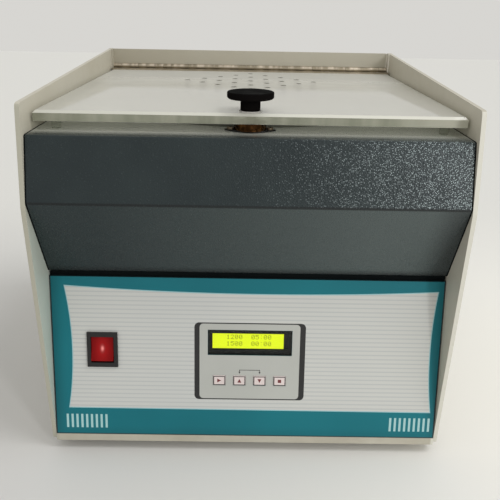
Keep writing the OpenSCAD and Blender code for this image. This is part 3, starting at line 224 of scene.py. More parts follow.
class Finish:
    """A material with one main shader, and short calls for the nodes that drive it."""

    def __init__(self, name, colour, rough, metal=0.0, **sockets):
        self.mat = bpy.data.materials.new(name)
        self.mat.use_nodes = True
        self.tree = self.mat.node_tree
        self.shader = self.tree.nodes["Principled BSDF"]
        self.set("Base Color", (*colour, 1))
        self.set("Roughness", rough)
        self.set("Metallic", metal)
        for key, value in sockets.items():
            self.set(key.replace("_", " "), value)
        self.mat.diffuse_color = (*colour, 1)
        self.place = None

    def set(self, socket, value):
        self.shader.inputs[socket].default_value = value

    def node(self, kind, inputs=(), **settings):
        n = self.tree.nodes.new(kind)
        for key, value in settings.items():
            setattr(n, key, value)
        for key, value in dict(inputs).items():
            if isinstance(value, bpy.types.NodeSocket):
                self.tree.links.new(value, n.inputs[key])
            else:
                n.inputs[key].default_value = value
        return n

    def link(self, out, socket):
        self.tree.links.new(out, self.shader.inputs[socket])

    def coordinates(self, stretch=(1, 1, 1)):
        """Object coordinates in metres, stretched along each axis."""
        if self.place is None:
            self.place = self.node("ShaderNodeTexCoord").outputs["Object"]
        if stretch == (1, 1, 1):
            return self.place
        return self.node("ShaderNodeMapping", {"Vector": self.place, "Scale": stretch}).outputs[0]

    def noise(self, size, detail, stretch=(1, 1, 1)):
        """Noise from 0 to 1 whose features are about size millimetres wide."""
        inputs = {"Vector": self.coordinates(stretch), "Scale": 1 / (size * MM), "Detail": detail}
        return self.node("ShaderNodeTexNoise", inputs).outputs["Fac"]

    def cells(self, size, feature="F1", out="Distance", **smoothness):
        """Cells about size millimetres wide."""
        inputs = {"Vector": self.coordinates(), "Scale": 1 / (size * MM), **smoothness}
        return self.node("ShaderNodeTexVoronoi", inputs, feature=feature).outputs[out]

    def math(self, operation, a, b=0.0):
        return self.node("ShaderNodeMath", {0: a, 1: b}, operation=operation).outputs[0]

    def times(self, a, b):
        return self.math("MULTIPLY", a, b)

    def vector_math(self, operation, inputs, out=0):
        return self.node("ShaderNodeVectorMath", inputs, operation=operation).outputs[out]

    def distance(self, centre, stretch):
        """The distance from a point, in metres, with each axis stretched first."""
        away = self.vector_math("SUBTRACT", {0: self.coordinates(), 1: centre})
        away = self.vector_math("MULTIPLY", {0: away, 1: stretch})
        return self.vector_math("LENGTH", {0: away}, "Value")

    def axis(self, letter):
        return self.node("ShaderNodeSeparateXYZ", {0: self.coordinates()}).outputs[letter]

    def off_centre(self):
        """The distance from the machine's middle, across."""
        return self.math("ABSOLUTE", self.axis("X"))

    def normal(self, letter):
        facing = self.node("ShaderNodeTexCoord").outputs["Normal"]
        return self.node("ShaderNodeSeparateXYZ", {0: facing}).outputs[letter]

    def up(self):
        """1 on level faces seen from above, 0 elsewhere."""
        return self.range(self.normal("Z"), 0.85, 0.98, 0, 1)

    def front(self, limit):
        """1 on faces whose normal's Y is well under limit, 0 where it is over it."""
        return self.range(self.normal("Y"), limit, limit - 0.05, 0, 1)

    def range(self, value, low, high, to_low, to_high, smooth=False):
        kind = "SMOOTHSTEP" if smooth else "LINEAR"
        inputs = {
            "Value": value, "From Min": low, "From Max": high, "To Min": to_low, "To Max": to_high,
        }
        return self.node("ShaderNodeMapRange", inputs, interpolation_type=kind).outputs["Result"]

    def along(self, letter, band, to_low, to_high, smooth=False):
        """Goes from to_low to to_high over a band of an axis."""
        return self.range(self.axis(letter), *band, to_low, to_high, smooth)

    def uneven(self, size, detail, low, high):
        """Wanders between low and high with noise about size millimetres wide."""
        return self.range(self.noise(size, detail), 0.3, 0.7, low, high)

    def mix(self, factor, a, b):
        """Two colours mixed, each as linear numbers or a socket."""
        a, b = ((*c, 1) if isinstance(c, tuple) else c for c in (a, b))
        inputs = {MIX_FACTOR: factor, MIX_A: a, MIX_B: b}
        return self.node("ShaderNodeMix", inputs, data_type="RGBA").outputs[MIX_RESULT]

    def mottled(self, size, detail, a, b):
        return self.mix(self.uneven(size, detail, 0, 1), a, b)

    def bump(self, height, strength, depth):
        """depth is the height of the bumps in millimetres."""
        inputs = {"Height": height, "Strength": strength, "Distance": depth * MM}
        self.link(self.node("ShaderNodeBump", inputs).outputs[0], "Normal")

    def see_through(self, share, tint):
        """Lets a share of the light straight through, which may be a socket."""
        clear = self.node("ShaderNodeBsdfTransparent", {"Color": (*tint, 1)})
        inputs = {0: share, 1: self.shader.outputs[0], 2: clear.outputs[0]}
        n = self.node("ShaderNodeMixShader", inputs)
        self.tree.links.new(n.outputs[0], self.tree.nodes["Material Output"].inputs["Surface"])


def speckled(name, colour, rough, grain=0.4, size=0.6, shade=0.12, metal=0.0, **sockets):
    """A plain moulded or painted finish: broad tone changes, a fine grain and uneven gloss."""
    f = Finish(name, colour, rough, metal, **sockets)
    f.link(f.mottled(60, 3, scaled(colour, 1 - shade), scaled(colour, 1 + shade)), "Base Color")
    f.link(f.uneven(9, 4, rough * 0.85, min(1, rough * 1.15)), "Roughness")
    f.bump(f.noise(size, 2), grain, 0.05)
    return f


def cream_paint():
    """Cream paint, darker in blotches near the floor, with painted light on the left panel's inner
    face under the hood and painted shade in the back left corner.
    """
    f = Finish("cream_paint", linear(204, 199, 184), 0.42, Specular_IOR_Level=0.4)
    tone = f.mottled(90, 3, linear(192, 187, 171), linear(199, 195, 181))
    # Darker in blotches towards the floor
    low = f.along("Z", LOW_BLOTCH_Z, 0.6, 0.0, smooth=True)
    low_blotches = f.times(low, f.range(f.noise(26, 4), 0.35, 0.75, 0, 1))
    tone = f.mix(low_blotches, tone, linear(168, 162, 146))
    # Painted light: the left panel's inner face under the hood is paler and greener
    painted_light_inner = f.times(f.range(f.normal("X"), 0.9, 0.95, 0, 1), f.along("Z", UNDER_HOOD_Z, 1, 0))
    painted_light_inner = f.times(painted_light_inner, f.along("X", LEFT_PANEL_X, 1, 0))
    tone = f.mix(painted_light_inner, tone, linear(198, 206, 196))
    # Painted shade: the back panel's left part is darker
    dim = f.times(f.along("Y", BACK_PANEL_Y, 0, 0.3), f.along("X", BACK_LEFT_X, 1, 0))
    tone = f.mix(dim, tone, linear(140, 132, 112))
    # The sheets' narrow front edges catch more light to the right and to the back
    edge = f.mix(f.along("X", WIDTH_X, 0, 1), linear(178, 176, 161), linear(216, 214, 203))
    edge = f.mix(f.along("Y", RAIL_BACK_Y, 0, 1), edge, linear(250, 246, 238))
    edge_share = f.times(f.range(f.off_centre(), *SHEET_EDGE_X, 0, 1), f.front(-0.6))
    left_back = f.times(f.along("Y", RAIL_BACK_Y, 0, 1), f.along("X", RAIL_LEFT_X, 1, 0))
    edge_share = f.times(edge_share, f.math("SUBTRACT", 1.0, left_back))
    f.link(f.mix(edge_share, tone, edge), "Base Color")
    f.link(f.uneven(14, 3, 0.36, 0.48), "Roughness")
    f.bump(f.math("ADD", f.noise(1.1, 2), f.times(f.noise(6, 1), 0.6)), 0.25, 0.06)
    return f


def hammertone():
    """Dark paint of small glossy bumps, with painted glints that grow to the right, a painted
    reflection and painted shade on its under face, and painted light on its level top.
    """
    f = Finish("hammertone", linear(44, 54, 57), 0.3, 0.2, Specular_IOR_Level=0.45)
    upper = f.range(f.normal("Z"), 0.0, 0.1, 0, 1)
    tone = f.mottled(45, 3, linear(28, 39, 42), linear(36, 47, 49))
    # Painted reflection: the under face is paler to the right, with painted shade at its right end
    under = f.mix(f.along("X", HOOD_UNDER_X, 0, 1), linear(37, 49, 51), linear(78, 88, 88))
    under = f.mix(f.along("X", HOOD_RIGHT_X, 0, 0.75, smooth=True), under, linear(40, 46, 48))
    tone = f.mix(upper, under, tone)
    # Painted glints: each cell has a chance number, and is painted pale where that is over a limit
    # that falls to the right
    chance = f.node("ShaderNodeSeparateXYZ", {0: f.cells(GLINT, out="Color")}).outputs[0]
    lit = f.math("GREATER_THAN", chance, f.along("X", GLINT_COUNT_X, 0.9, 0.02))
    painted_glint = f.times(f.times(lit, upper), f.range(f.cells(GLINT), 0.12, 0.42, 1, 0))
    strength = f.along("X", GLINT_LIGHT_X, 0.05, 0.95)
    tone = f.mix(f.times(painted_glint, strength), tone, linear(196, 211, 213))
    off = f.math("ABSOLUTE", f.math("SUBTRACT", f.axis("Z"), CREST_Z))
    crest = f.times(f.range(off, *CREST_LINE, 0.9, 0, smooth=True), f.front(-0.2))
    tone = f.mix(crest, tone, linear(18, 24, 26))
    # Painted shade towards the waist
    waist = f.along("Z", (WAIST_Z, WAIST_Z + WAIST_SHADE), 0.8, 0, smooth=True)
    tone = f.mix(f.times(waist, f.front(-0.2)), tone, linear(10, 12, 13))
    # Painted light on the level top, strongest at the back and fading towards the front
    painted_top_light = f.times(f.up(), f.along("Y", PAINTED_TOP_LIGHT_Y, 0.04, 1.0, smooth=True))
    f.link(f.mix(painted_top_light, tone, linear(194, 196, 187)), "Base Color")
    f.link(f.uneven(0.8, 2, 0.24, 0.4), "Roughness")
    bumps = f.cells(GLINT, "SMOOTH_F1", Smoothness=0.35)
    f.bump(f.math("ADD", bumps, f.times(f.noise(0.6, 2), 0.4)), 0.5, 0.35)
    return f


def teal_print():
    """The overlay's ground, darker at its sides and foot."""
    f = Finish("teal_print", linear(12, 98, 107), 0.45, Specular_IOR_Level=0.3)
    tone = f.mottled(120, 2, linear(5, 106, 118), linear(11, 118, 130))
    side = f.range(f.off_centre(), *OVERLAY_SIDE_X, 0, 0.4, smooth=True)
    foot = f.along("Z", OVERLAY_FOOT_Z, 0.2, 0, smooth=True)
    f.link(f.mix(f.math("MAXIMUM", side, foot), tone, linear(8, 64, 70)), "Base Color")
    f.bump(f.noise(0.35, 2), 0.12, 0.03)
    return f


def field_print():
    """Pale print with fine lines across, which repeat up the slope."""
    f = Finish("field_print", linear(203, 204, 202), 0.4, Specular_IOR_Level=0.4)
    pitch = STRIPE_PITCH * MM * math.cos(PANEL_TILT)
    phase = f.math("FRACT", f.math("DIVIDE", f.axis("Z"), pitch))
    off = f.math("ABSOLUTE", f.math("SUBTRACT", phase, 0.5))
    line = f.range(off, *STRIPE_BLUR, 1, 0, smooth=True)
    broad = f.mottled(150, 2, linear(202, 204, 202), linear(208, 209, 205))
    f.link(f.mix(f.times(line, 0.75), broad, linear(184, 188, 188)), "Base Color")
    f.bump(f.noise(0.35, 2), 0.12, 0.03)
    return f


def ink(name, colour):
    return speckled(name, colour, 0.38, grain=0.1, size=0.35, shade=0.04,
                    Coat_Weight=0.2, Coat_Roughness=0.2)


def acrylic(name, haze, share, tint):
    """Clear sheet: most light goes straight through, the rest meets a glossy, milky surface."""
    f = Finish(name, haze, 0.05, IOR=1.49, Specular_IOR_Level=0.5)
    wipe = f.range(f.noise(30, 4, stretch=(1, 2.5, 1)), 0.35, 0.75, 0.03, 0.09)
    f.link(f.math("ADD", wipe, f.along("Y", LID_GLOSS_Y, 0, 0.3, smooth=True)), "Roughness")
    facing = f.node("ShaderNodeLayerWeight", {"Blend": 0.35}).outputs["Facing"]
    glance = f.math("POWER", facing, 2.0)
    f.see_through(f.range(glance, 0, 1, share, share * 0.45), tint)
    return f


def streaked_edge():
    """The lid's cut edge: uneven from side to side, with painted light near its right end."""
    f = Finish("lid_edge", linear(150, 152, 134), 0.16, IOR=1.49)
    streak = f.noise(14, 3, stretch=(1, 0.1, 0.1))
    tone = f.mix(f.range(streak, 0.35, 0.65, 0, 1), linear(136, 137, 118), linear(166, 166, 148))
    # Painted light: paler towards the right end
    end = f.along("X", LID_PALE_END_X, 0, 1, smooth=True)
    f.link(f.mix(end, tone, linear(208, 206, 190)), "Base Color")
    f.see_through(0.3, (0.84, 0.9, 0.84))
    return f


def brushed(name, colour, rough, stretch):
    """Metal with fine streaks; the less an axis is stretched, the longer they run along it."""
    f = Finish(name, colour, rough, 1.0)
    streak = f.noise(0.9, 3, stretch=stretch)
    f.link(f.range(streak, 0.25, 0.75, rough * 0.8, rough * 1.3), "Roughness")
    f.link(f.mottled(30, 3, scaled(colour, 0.85), colour), "Base Color")
    f.bump(streak, 0.3, 0.02)
    return f


def turned(name, colour, rough, centre):
    """Metal with fine rings about an upright axis at centre, in metres."""
    f = Finish(name, colour, rough, 1.0)
    radius = f.distance((*centre, 0), (1, 1, 0))
    inputs = {"W": f.math("DIVIDE", radius, 0.5 * MM), "Scale": 1.0, "Detail": 2.0}
    rings = f.node("ShaderNodeTexNoise", inputs, noise_dimensions="1D").outputs["Fac"]
    f.link(f.range(rings, 0.3, 0.7, rough * 0.75, rough * 1.3), "Roughness")
    f.link(f.mottled(18, 3, scaled(colour, 0.8), colour), "Base Color")
    f.bump(rings, 0.3, 0.02)
    return f


def brass():
    """Brass with dark stains."""
    colour = linear(112, 76, 42)
    f = brushed("brass", colour, 0.24, (1, 1, 6))
    stain = f.range(f.noise(5, 4), 0.3, 0.55, 0, 0.9)
    f.link(f.mix(stain, colour, linear(44, 27, 14)), "Base Color")
    return f


def hinge_metal():
    """Dull steel of a long hinge, whose knuckles catch the light unevenly."""
    f = brushed("hinge_steel", linear(170, 160, 140), 0.42, (0.3, 2, 2))
    glint = f.range(f.noise(6, 1, stretch=(1, 0.1, 0.1)), 0.4, 0.65, 0, 1)
    glint = f.times(glint, f.along("Z", HINGE_TOP_Z, 0.15, 0.8))
    f.link(f.mix(glint, linear(160, 150, 131), linear(226, 214, 197)), "Base Color")
    return f


def red_plastic():
    """Red translucent plastic with a lamp that glows behind its middle, and a painted highlight as
    a small pale spot there.
    """
    f = speckled("red_rocker", linear(126, 4, 7), 0.35, grain=0.05, Specular_IOR_Level=0.12)
    away = f.distance(ROCKER_MIDDLE, (1, 0.3, 0.55))
    glow = f.range(away, 0.0, 0.010, 0.17, 0.0, smooth=True)
    # Painted highlight: a small pale spot that glows at the middle
    painted_highlight_spot = f.range(away, 0.0002, 0.0022, 0.9, 0.0, smooth=True)
    f.link(f.math("ADD", glow, painted_highlight_spot), "Emission Strength")
    warm = f.mix(f.range(away, 0.0, 0.003, 0, 1), (1.0, 0.55, 0.5), (1.0, 0.04, 0.04))
    f.link(warm, "Emission Color")
    return f


def lit_display():
    glow = 0.95
    f = Finish("lit_display", linear(170, 190, 10), 0.4,
               Emission_Color=(0.80, 0.90, 0.01, 1), Emission_Strength=glow)
    f.link(f.times(f.uneven(0.5, 1, 0.9, 1.0), glow), "Emission Strength")
    return f


def circuit_board():
    """Green lacquer with paler tracks."""
    f = speckled("circuit_board", linear(22, 84, 50), 0.35, grain=0.2,
                 Coat_Weight=0.4, Coat_Roughness=0.15)
    track = f.range(f.cells(3.5, "DISTANCE_TO_EDGE"), 0.04, 0.08, 1, 0)
    f.link(f.mix(track, linear(20, 76, 46), linear(44, 120, 74)), "Base Color")
    return f


def floor_paint():
    f = Finish("studio_floor", linear(222, 222, 220), 0.6)
    # Painted light and shade: darker to the left, brighter to the right, evening out further back
    tone = f.mix(f.along("X", FLOOR_X, 0, 1), linear(200, 200, 200), linear(250, 249, 244))
    tone = f.mix(f.along("Y", FLOOR_Y, 0, 1, smooth=True), tone, linear(231, 231, 228))
    f.link(tone, "Base Color")
    return f


# Placing on the control panel

panel_low, panel_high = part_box("control_panel")
PANEL_RUN = panel_high.y - PANEL_FLANGE * MM - panel_low.y
PANEL_RISE = panel_high.z - panel_low.z
PANEL_TILT = math.atan2(PANEL_RUN, PANEL_RISE)


def on_panel(x, v, n=0.0):
    """A point of the control panel: x across, v up the slope, n out of its face, in millimetres."""
    return Vector((
        x * MM,
        panel_low.y + (v * math.sin(PANEL_TILT) - n * math.cos(PANEL_TILT)) * MM,
        panel_low.z + (v * math.cos(PANEL_TILT) + n * math.sin(PANEL_TILT)) * MM,
    ))


def panel_place(point):
    """The x and v of a point of the shared frame, in millimetres."""
    y, z = point.y - panel_low.y, point.z - panel_low.z
    return point.x / MM, (y * math.sin(PANEL_TILT) + z * math.cos(PANEL_TILT)) / MM


def middle(node):
    low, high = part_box(node)
    return (low + high) / 2


ROCKER_MIDDLE = middle("power_rocker")
WAIST_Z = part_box("top_hood")[0].z


# Outlines, as lists of (x, v) points in millimetres

def rectangle(x0, v0, x1, v1):
    return [(x0, v0), (x1, v0), (x1, v1), (x0, v1)]


def round_rectangle(x0, v0, x1, v1, r, steps=6):
    corners = (
        (x1 - r, v0 + r, -90), (x1 - r, v1 - r, 0), (x0 + r, v1 - r, 90), (x0 + r, v0 + r, 180),
    )
    points = []
    for x, v, start in corners:
        for i in range(steps + 1):
            angle = math.radians(start + 90 * i / steps)
            points.append((x + r * math.cos(angle), v + r * math.sin(angle)))
    return points


def bowed(a, b, sag, steps=20):
    """Points from a up to b, not b itself, on a parabola that is sag off the line at its middle."""
    dx, dv = b[0] - a[0], b[1] - a[1]
    length = math.hypot(dx, dv)
    points = []
    for i in range(steps):
        t = i / steps
        off = 4 * sag * t * (1 - t)
        points.append((a[0] + dx * t - dv / length * off, a[1] + dv * t + dx / length * off))
    return points


def centred(place, w, h):
    return rectangle(place[0] - w / 2, place[1] - h / 2, place[0] + w / 2, place[1] + h / 2)


def shrunk(box, by):
    return box[0] + by, box[1] + by, box[2] - by, box[3] - by


# Pieces

def piece(name, bm, material, body):
    """Turns a bmesh into an object that rides on a body."""
    bmesh.ops.recalc_face_normals(bm, faces=bm.faces)
    mesh = bpy.data.meshes.new(name)
    bm.to_mesh(mesh)
    bm.free()
    mesh.materials.append(material.mat)
    obj = bpy.data.objects.new(name, mesh)
    scene.collection.objects.link(obj)
    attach(obj, body)
    return obj


def add_plate(bm, outline, low, high, holes=()):
    """Adds a closed plate that lies along the control panel, between two heights above its face."""
    loops = [outline, *holes]
    points = [p for loop in loops for p in loop]
    top = [bm.verts.new(on_panel(x, v, high)) for x, v in points]
    bottom = [bm.verts.new(on_panel(x, v, low)) for x, v in points]
    if holes:
        flat = [[Vector((x, v, 0)) for x, v in loop] for loop in loops]
        for triangle in tessellate_polygon(flat):
            bm.faces.new([top[i] for i in triangle])
            bm.faces.new([bottom[i] for i in reversed(triangle)])
    else:
        bm.faces.new(top)
        bm.faces.new(list(reversed(bottom)))
    first = 0
    for loop in loops:
        n = len(loop)
        for i in range(n):
            a, b = first + i, first + (i + 1) % n
            bm.faces.new((top[a], top[b], bottom[b], bottom[a]))
        first += n


def printed(name, outlines, layer, material, holes=()):
    """Ink on the overlay: a closed film that stands higher with each layer."""
    bm = bmesh.new()
    for outline in outlines:
        add_plate(bm, outline, OVERLAY_T - INK_ROOT, OVERLAY_T + layer * INK_LAYER, holes)
    piece(name, bm, material, "cabinet")


def softened(node, material, width, segments=2):
    """Stands for a CAD node, with the same shape and its sharp edges rounded by width in mm."""
    source = nodes[node]
    bm = bmesh.new()
    bm.from_mesh(source.data)
    bmesh.ops.remove_doubles(bm, verts=bm.verts, dist=1e-6)
    bmesh.ops.dissolve_limit(bm, angle_limit=FLAT_ANGLE, verts=bm.verts, edges=bm.edges,
                             use_dissolve_boundaries=False)
    sharp = [e for e in bm.edges if e.is_manifold and e.calc_face_angle(0) > ROUNDED_ANGLE]
    bmesh.ops.bevel(bm, geom=sharp, offset=width * MM, segments=segments, profile=0.5,
                    affect="EDGES", clamp_overlap=True)
    for face in bm.faces:
        face.smooth = True
    obj = piece(node + "_finished", bm, material, source["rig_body"])
    obj.data.set_sharp_from_angle(angle=CREASE_ANGLE)
    modifier = obj.modifiers.new("even_normals", "WEIGHTED_NORMAL")
    modifier.keep_sharp = True
    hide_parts(node)
    return obj


def dress(material, *names):
    """Gives CAD nodes a better material."""
    for name in names:
        for slot in nodes[name].material_slots:
            slot.material = material.mat


# Camera, floor and light

def make_camera():
    data = bpy.data.cameras.new("camera")
    camera = bpy.data.objects.new("camera", data)
    scene.collection.objects.link(camera)
    data.sensor_width = SENSOR_WIDTH
    data.lens = FOCAL_PIXELS / FRAME_PIXELS * SENSOR_WIDTH
    data.clip_start = 0.01
    level = Vector((math.sin(CAMERA_TURN), math.cos(CAMERA_TURN), 0))
    ahead = level * math.cos(CAMERA_DOWN) - Vector((0, 0, math.sin(CAMERA_DOWN)))
    right = Vector((level.y, -level.x, 0))
    up = right.cross(ahead)
    rolled_right = right * math.cos(CAMERA_ROLL) + up * math.sin(CAMERA_ROLL)
    rolled_up = up * math.cos(CAMERA_ROLL) - right * math.sin(CAMERA_ROLL)
    turn = Matrix((rolled_right, rolled_up, -ahead)).transposed().to_4x4()
    camera.matrix_world = Matrix.Translation(CAMERA_PLACE) @ turn
    scene.camera = camera


def make_floor():
    bm = bmesh.new()
    bmesh.ops.create_grid(bm, x_segments=1, y_segments=1, size=4)
    mesh = bpy.data.meshes.new("studio_floor")
    bm.to_mesh(mesh)
    bm.free()
    mesh.materials.append(floor_paint().mat)
    floor = bpy.data.objects.new("studio_floor", mesh)
    scene.collection.objects.link(floor)


def add_light(name, kind, power, way):
    """Adds a light that shines along way."""
    data = bpy.data.lights.new(name, kind)
    data.energy = power
    lamp = bpy.data.objects.new(name, data)
    scene.collection.objects.link(lamp)
    lamp.rotation_euler = way.to_track_quat("-Z", "Y").to_euler()
    return lamp


def make_light():
    world = bpy.data.worlds.new("studio")
    scene.world = world
    world.use_nodes = True
    background = world.node_tree.nodes["Background"]
    background.inputs["Color"].default_value = (1.0, 0.985, 0.945, 1)
    background.inputs["Strength"].default_value = 0.68
    sun = add_light("daylight", "SUN", 0.8, SUN_WAY)
    sun.data.angle = math.radians(25)
    window = add_light("right_window", "AREA", 5, WINDOW_TARGET - WINDOW_PLACE)
    window.location = WINDOW_PLACE
    window.data.shape = "RECTANGLE"
    window.data.size, window.data.size_y = WINDOW_SIZE
    scene.view_settings.view_transform = "Standard"
    scene.view_settings.look = "None"


make_camera()
make_floor()
make_light()

# Finishes

cream = cream_paint()
hammer = hammertone()
dark_panel = speckled("panel_paint", linear(20, 42, 46), 0.5, grain=0.3)
teal = teal_print()
field = field_print()
pale_ink = ink("pale_ink", linear(168, 208, 208))
edge_ink = ink("edge_ink", linear(150, 196, 202))
black_ink = ink("black_ink", linear(22, 22, 24))
grey_ink = ink("grey_ink", linear(184, 186, 181))
icon_ink = ink("icon_ink", linear(112, 44, 46))
rubber = speckled("black_rubber", linear(24, 24, 26), 0.75, grain=0.5, size=0.4)
black_plastic = speckled("black_plastic", linear(20, 20, 21), 0.32, grain=0.25, size=0.3)
knob_black = speckled("knob_black", linear(17, 15, 15), 0.5, grain=0.1, size=0.5,
                      IOR=1.05, Specular_IOR_Level=0.2)
# Painted shade: the knob's level top is darker than its sides
knob_black.link(knob_black.mix(knob_black.up(), linear(17, 15, 15), linear(4, 4, 4)), "Base Color")
waist_black = speckled("waist_black", linear(14, 18, 19), 0.9, grain=0.2, Specular_IOR_Level=0.05)
display_black = speckled("display_black", linear(14, 15, 16), 0.4, grain=0.1)
key_plastic = speckled("key_plastic", linear(226, 212, 210), 0.35, grain=0.15, size=0.3, shade=0.04)
red = red_plastic()
lit = lit_display()
lcd_ink = ink("lcd_ink", linear(140, 160, 8))
lid_clear = acrylic("lid_acrylic", linear(232, 231, 223), 0.45, (0.97, 0.975, 0.955))
lid_edge = streaked_edge()
# Painted highlight: the lid's upper arris is pale and nearly opaque, paler to the right
lid_arris = acrylic("lid_arris", linear(228, 227, 217), 0.05, (1, 1, 1))
arris_painted_light = lid_arris.along("X", WIDTH_X, 0, 1)
arris_tone = lid_arris.mix(arris_painted_light, linear(206, 206, 196), linear(228, 227, 217))
lid_arris.link(arris_tone, "Base Color")
# Painted shade: the hole walls are darker and less clear than the lid
lid_holes = acrylic("lid_holes", linear(140, 138, 128), 0.3, (0.88, 0.88, 0.86))
bumper_clear = acrylic("bumper_clear", linear(150, 152, 140), 0.93, (0.93, 0.94, 0.92))
window_clear = acrylic("window_clear", linear(30, 34, 34), 0.93, (0.97, 0.98, 0.97))
zinc = brushed("zinc_steel", linear(196, 196, 192), 0.32, (1, 1, 1))
dull_zinc = brushed("dull_zinc", linear(128, 116, 98), 0.5, (1, 1, 1))
nylon = speckled("nylon", linear(206, 203, 198), 0.45, grain=0.1)
seal_grey = speckled("seal_grey", linear(112, 113, 104), 0.8, grain=0.4, size=0.5)
hinge_steel = hinge_metal()
black_steel = speckled("black_steel", linear(26, 24, 24), 0.42, grain=0.2, metal=0.4)
brass_finish = brass()
silicon_steel = brushed("silicon_steel", linear(120, 122, 128), 0.45, (1, 1, 12))
copper = brushed("copper_winding", linear(190, 104, 60), 0.35, (4, 4, 1))
board = circuit_board()
lead_black = speckled("lead_black", linear(28, 28, 30), 0.5, grain=0.2)
bowl_centre = middle("chamber_bowl").xy
bowl_steel = turned("stainless", linear(200, 202, 204), 0.28, bowl_centre)
cast = turned("cast_aluminium", linear(186, 190, 192), 0.36, bowl_centre)

dress(dark_panel, "control_panel")
dress(teal, "panel_overlay")
dress(window_clear, "display_window")
dress(display_black, "display_module")
dress(hammer, "top_hood")
dress(waist_black, "waist_seal", "hood_side_seals")
dress(seal_grey, "bowl_rim_seal")
dress(nylon, "latch_washer")
dress(dull_zinc, "m3_screws")
dress(rubber, "shaft_gaiter", "motor_isolators", "shield_cushions")
dress(zinc, "side_panel_screws", "foot_screws", "hinge_lid_screws", "isolator_bolts", "motor_bolts",
      "latch_spindle", "motor_mount_plate", "upper_bearing", "lower_bearing", "motor_shaft")
dress(hinge_steel, "hinge_cabinet_leaf", "hinge_lid_leaf", "hinge_pin")
dress(bowl_steel, "chamber_bowl", "tube_shields", "rotor_nut")
dress(cast, "rotor_head", "motor_upper_bell", "motor_lower_bell")
dress(black_steel, "motor_can")
dress(silicon_steel, "stator_core", "magnet_rotor")
dress(copper, "stator_coils")
dress(board, "control_board", "power_supply_board", "motor_driver_board")
dress(black_plastic, "key_switches", "mains_inlet", "fuse_holder")
dress(brass_finish, "board_standoffs", "latch_collar")

# Casework with rounded sheet edges

for name in ("left_side_panel", "right_side_panel", "back_panel", "base_tray"):
    softened(name, cream, 0.4)
softened("rubber_feet", rubber, 0.8)
softened("strike_plate", black_steel, 0.25)
softened("latch_knob", knob_black, 0.25)
softened("power_switch_body", black_plastic, 0.4)
softened("power_rocker", red, 0.9, segments=4)
softened("lid_bumpers", bumper_clear, 0.5)
for name in KEY_NODES:
    softened(name, key_plastic, 0.3)


def make_lid():
    """The lid, whose cut edge, upper arris and hole walls have finishes of their own, with painted
    light on the edge and arris and painted shade in the holes.
    """
    lid = softened("lid_sheet", lid_clear, 0.3)
    low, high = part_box("lid_sheet")
    for finish in (lid_edge, lid_arris, lid_holes):
        lid.data.materials.append(finish.mat)
    edge, arris, hole = 1, 2, 3
    for face in lid.data.polygons:
        place, facing = face.center, face.normal.z
        inset = min(place.x - low.x, high.x - place.x, place.y - low.y, high.y - place.y)
        outer = inset < LID_MARGIN
        if abs(facing) < 0.3:
            face.material_index = edge if outer else hole
        elif 0 < facing < 0.9 and outer:
            face.material_index = arris


make_lid()


def rounded_route(points, steps=5):
    """The route in metres, with each corner eased into a short curve."""
    points = [Vector(p) * MM for p in points]
    route = [points[0]]
    for before, here, after in zip(points, points[1:], points[2:]):
        reach = min(LEAD_BEND * MM, (before - here).length / 2, (after - here).length / 2)
        start = here + (before - here).normalized() * reach
        end = here + (after - here).normalized() * reach
        for i in range(steps + 1):
            t = i / steps
            route.append(start * (1 - t) ** 2 + here * 2 * t * (1 - t) + end * t * t)
    return route + [points[-1]]


def make_leads():
    """The leads inside the cabinet as smooth round cables."""
    for name, (radius, points) in LEADS.items():
        curve = bpy.data.curves.new(name, "CURVE")
        curve.dimensions = "3D"
        curve.bevel_depth = radius * MM
        curve.bevel_resolution = 3
        curve.use_fill_caps = True
        route = rounded_route(points)
        line = curve.splines.new("POLY")
        line.points.add(len(route) - 1)
        for point, place in zip(line.points, route):
            point.co = (*place, 1)
        curve.materials.append(lead_black.mat)
        lead = bpy.data.objects.new(name, curve)
        scene.collection.objects.link(lead)
        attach(lead, "cabinet")
        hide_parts("internal_leads")


make_leads()


# The printed overlay

def make_overlay_prints():
    """The field with its edge, the keypad with its frame, and the bars."""
    outline = []
    for (corner, sag), (following, _) in zip(FIELD_SIDES, FIELD_SIDES[1:] + FIELD_SIDES[:1]):
        outline += bowed(corner, following, sag)
    grown = [
        (x + math.copysign(FIELD_EDGE, x), v + math.copysign(FIELD_EDGE, v - FIELD_MIDDLE_V))
        for x, v in outline
    ]
    switch_x, _ = panel_place(middle("power_switch_body"))
    holes = [centred((switch_x, SWITCH_V), *SWITCH_HOLE), rectangle(*BLOCK_INNER)]
    printed("overlay_field_edge", [grown], 1, edge_ink, holes)
    printed("overlay_field", [outline], 3, field, holes)
    keypad_hole = rectangle(*shrunk(BLOCK_INNER, FRAME_LAP))
    printed("keypad_frame", [round_rectangle(*BLOCK, BLOCK_R)], 5, black_ink, [keypad_hole])
    holes = [centred(panel_place(middle("display_window")), *WINDOW_HOLE)]
    holes += [centred(panel_place(middle(node)), *KEY_HOLE) for node in KEY_NODES]
    keypad = round_rectangle(*BLOCK_INNER, BLOCK_INNER_R)
    printed("keypad_face", [keypad], 7, grey_ink, holes)
    starts = [start + i * BAR_PITCH for start in BAR_STARTS for i in range(BARS)]
    bars = [rectangle(x, BAR_LOW, x + BAR_W, BAR_HIGH) for x in starts]
    printed("overlay_bars", bars, 2, pale_ink)


make_overlay_prints()


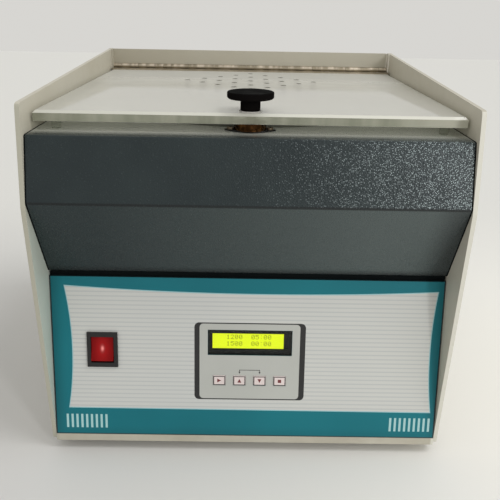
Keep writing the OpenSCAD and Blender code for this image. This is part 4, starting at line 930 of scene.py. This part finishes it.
def make_key_marks():
    """A black rim and a plain sign on each key, and the bracket above the two middle ones."""
    triangle = [(-1, -1), (1, -1), (0, 1)]
    signs = {
        "key_start": [(-1, -1), (1, 0), (-1, 1)],
        "key_up": triangle,
        "key_down": [(-x, -v) for x, v in triangle],
        "key_stop": rectangle(-SQUARE, -SQUARE, SQUARE, SQUARE),
    }
    top = KEY_PROUD + OVERLAY_T
    low, high = top - INK_ROOT, top + INK_T
    for node, body in zip(KEY_NODES, KEY_BODIES):
        x, v = place = panel_place(middle(node))
        face = centred(place, KEY_W - 2 * KEY_RIM, KEY_H - 2 * KEY_RIM)
        bm = bmesh.new()
        add_plate(bm, centred(place, KEY_W, KEY_H), low, high, [face])
        piece(node + "_rim", bm, black_ink, body)
        bm = bmesh.new()
        add_plate(bm, [(x + a * SIGN, v + b * SIGN) for a, b in signs[node]], low, high)
        piece(node + "_sign", bm, icon_ink, body)
    up_x, v = panel_place(middle("key_up"))
    down_x, _ = panel_place(middle("key_down"))
    low, high, line = v + BRACKET_LOW, v + BRACKET_HIGH, BRACKET_LINE
    marks = [rectangle(up_x - line, high - line, down_x + line, high + line)]
    marks += [rectangle(x - line, low, x + line, high) for x in (up_x, down_x)]
    marks += [
        [(x - ARROW_W, low + ARROW_UP), (x, low - ARROW_DOWN), (x + ARROW_W, low + ARROW_UP)]
        for x in (up_x, down_x)
    ]
    printed("keypad_bracket", marks, 9, black_ink)


make_key_marks()


# The display

def letter_dots(letter, left, middle_v):
    """The outlines of a letter's dots."""
    lines = LETTERS[letter].split()
    top = middle_v + len(lines) / 2 * DOT
    return [
        rectangle(left + i * DOT, top - j * DOT - DOT * DOT_FILL,
                  left + i * DOT + DOT * DOT_FILL, top - j * DOT)
        for j, line in enumerate(lines) for i, on in enumerate(line) if on == "1"
    ]


def make_display():
    """A lit two-line panel with plain numbers made of dots."""
    x0, v0, x1, v1 = LCD_BOX
    x, v = (x0 + x1) / 2, (v0 + v1) / 2
    bm = bmesh.new()
    add_plate(bm, rectangle(*LCD_BOX), LCD_DEPTH - LCD_T, LCD_DEPTH)
    piece("display_lit_area", bm, lit, "cabinet")
    bm = bmesh.new()
    for row, text in enumerate(LCD_ROWS):
        for column, letter in enumerate(text):
            left = x + (column - len(text) // 2) * LETTER_PITCH + LETTER_INSET
            for dot in letter_dots(letter, left, v + (0.5 - row) * ROW_PITCH):
                add_plate(bm, dot, LCD_DEPTH, LCD_DEPTH + INK_T)
    piece("display_numbers", bm, lcd_ink, "cabinet")


make_display()
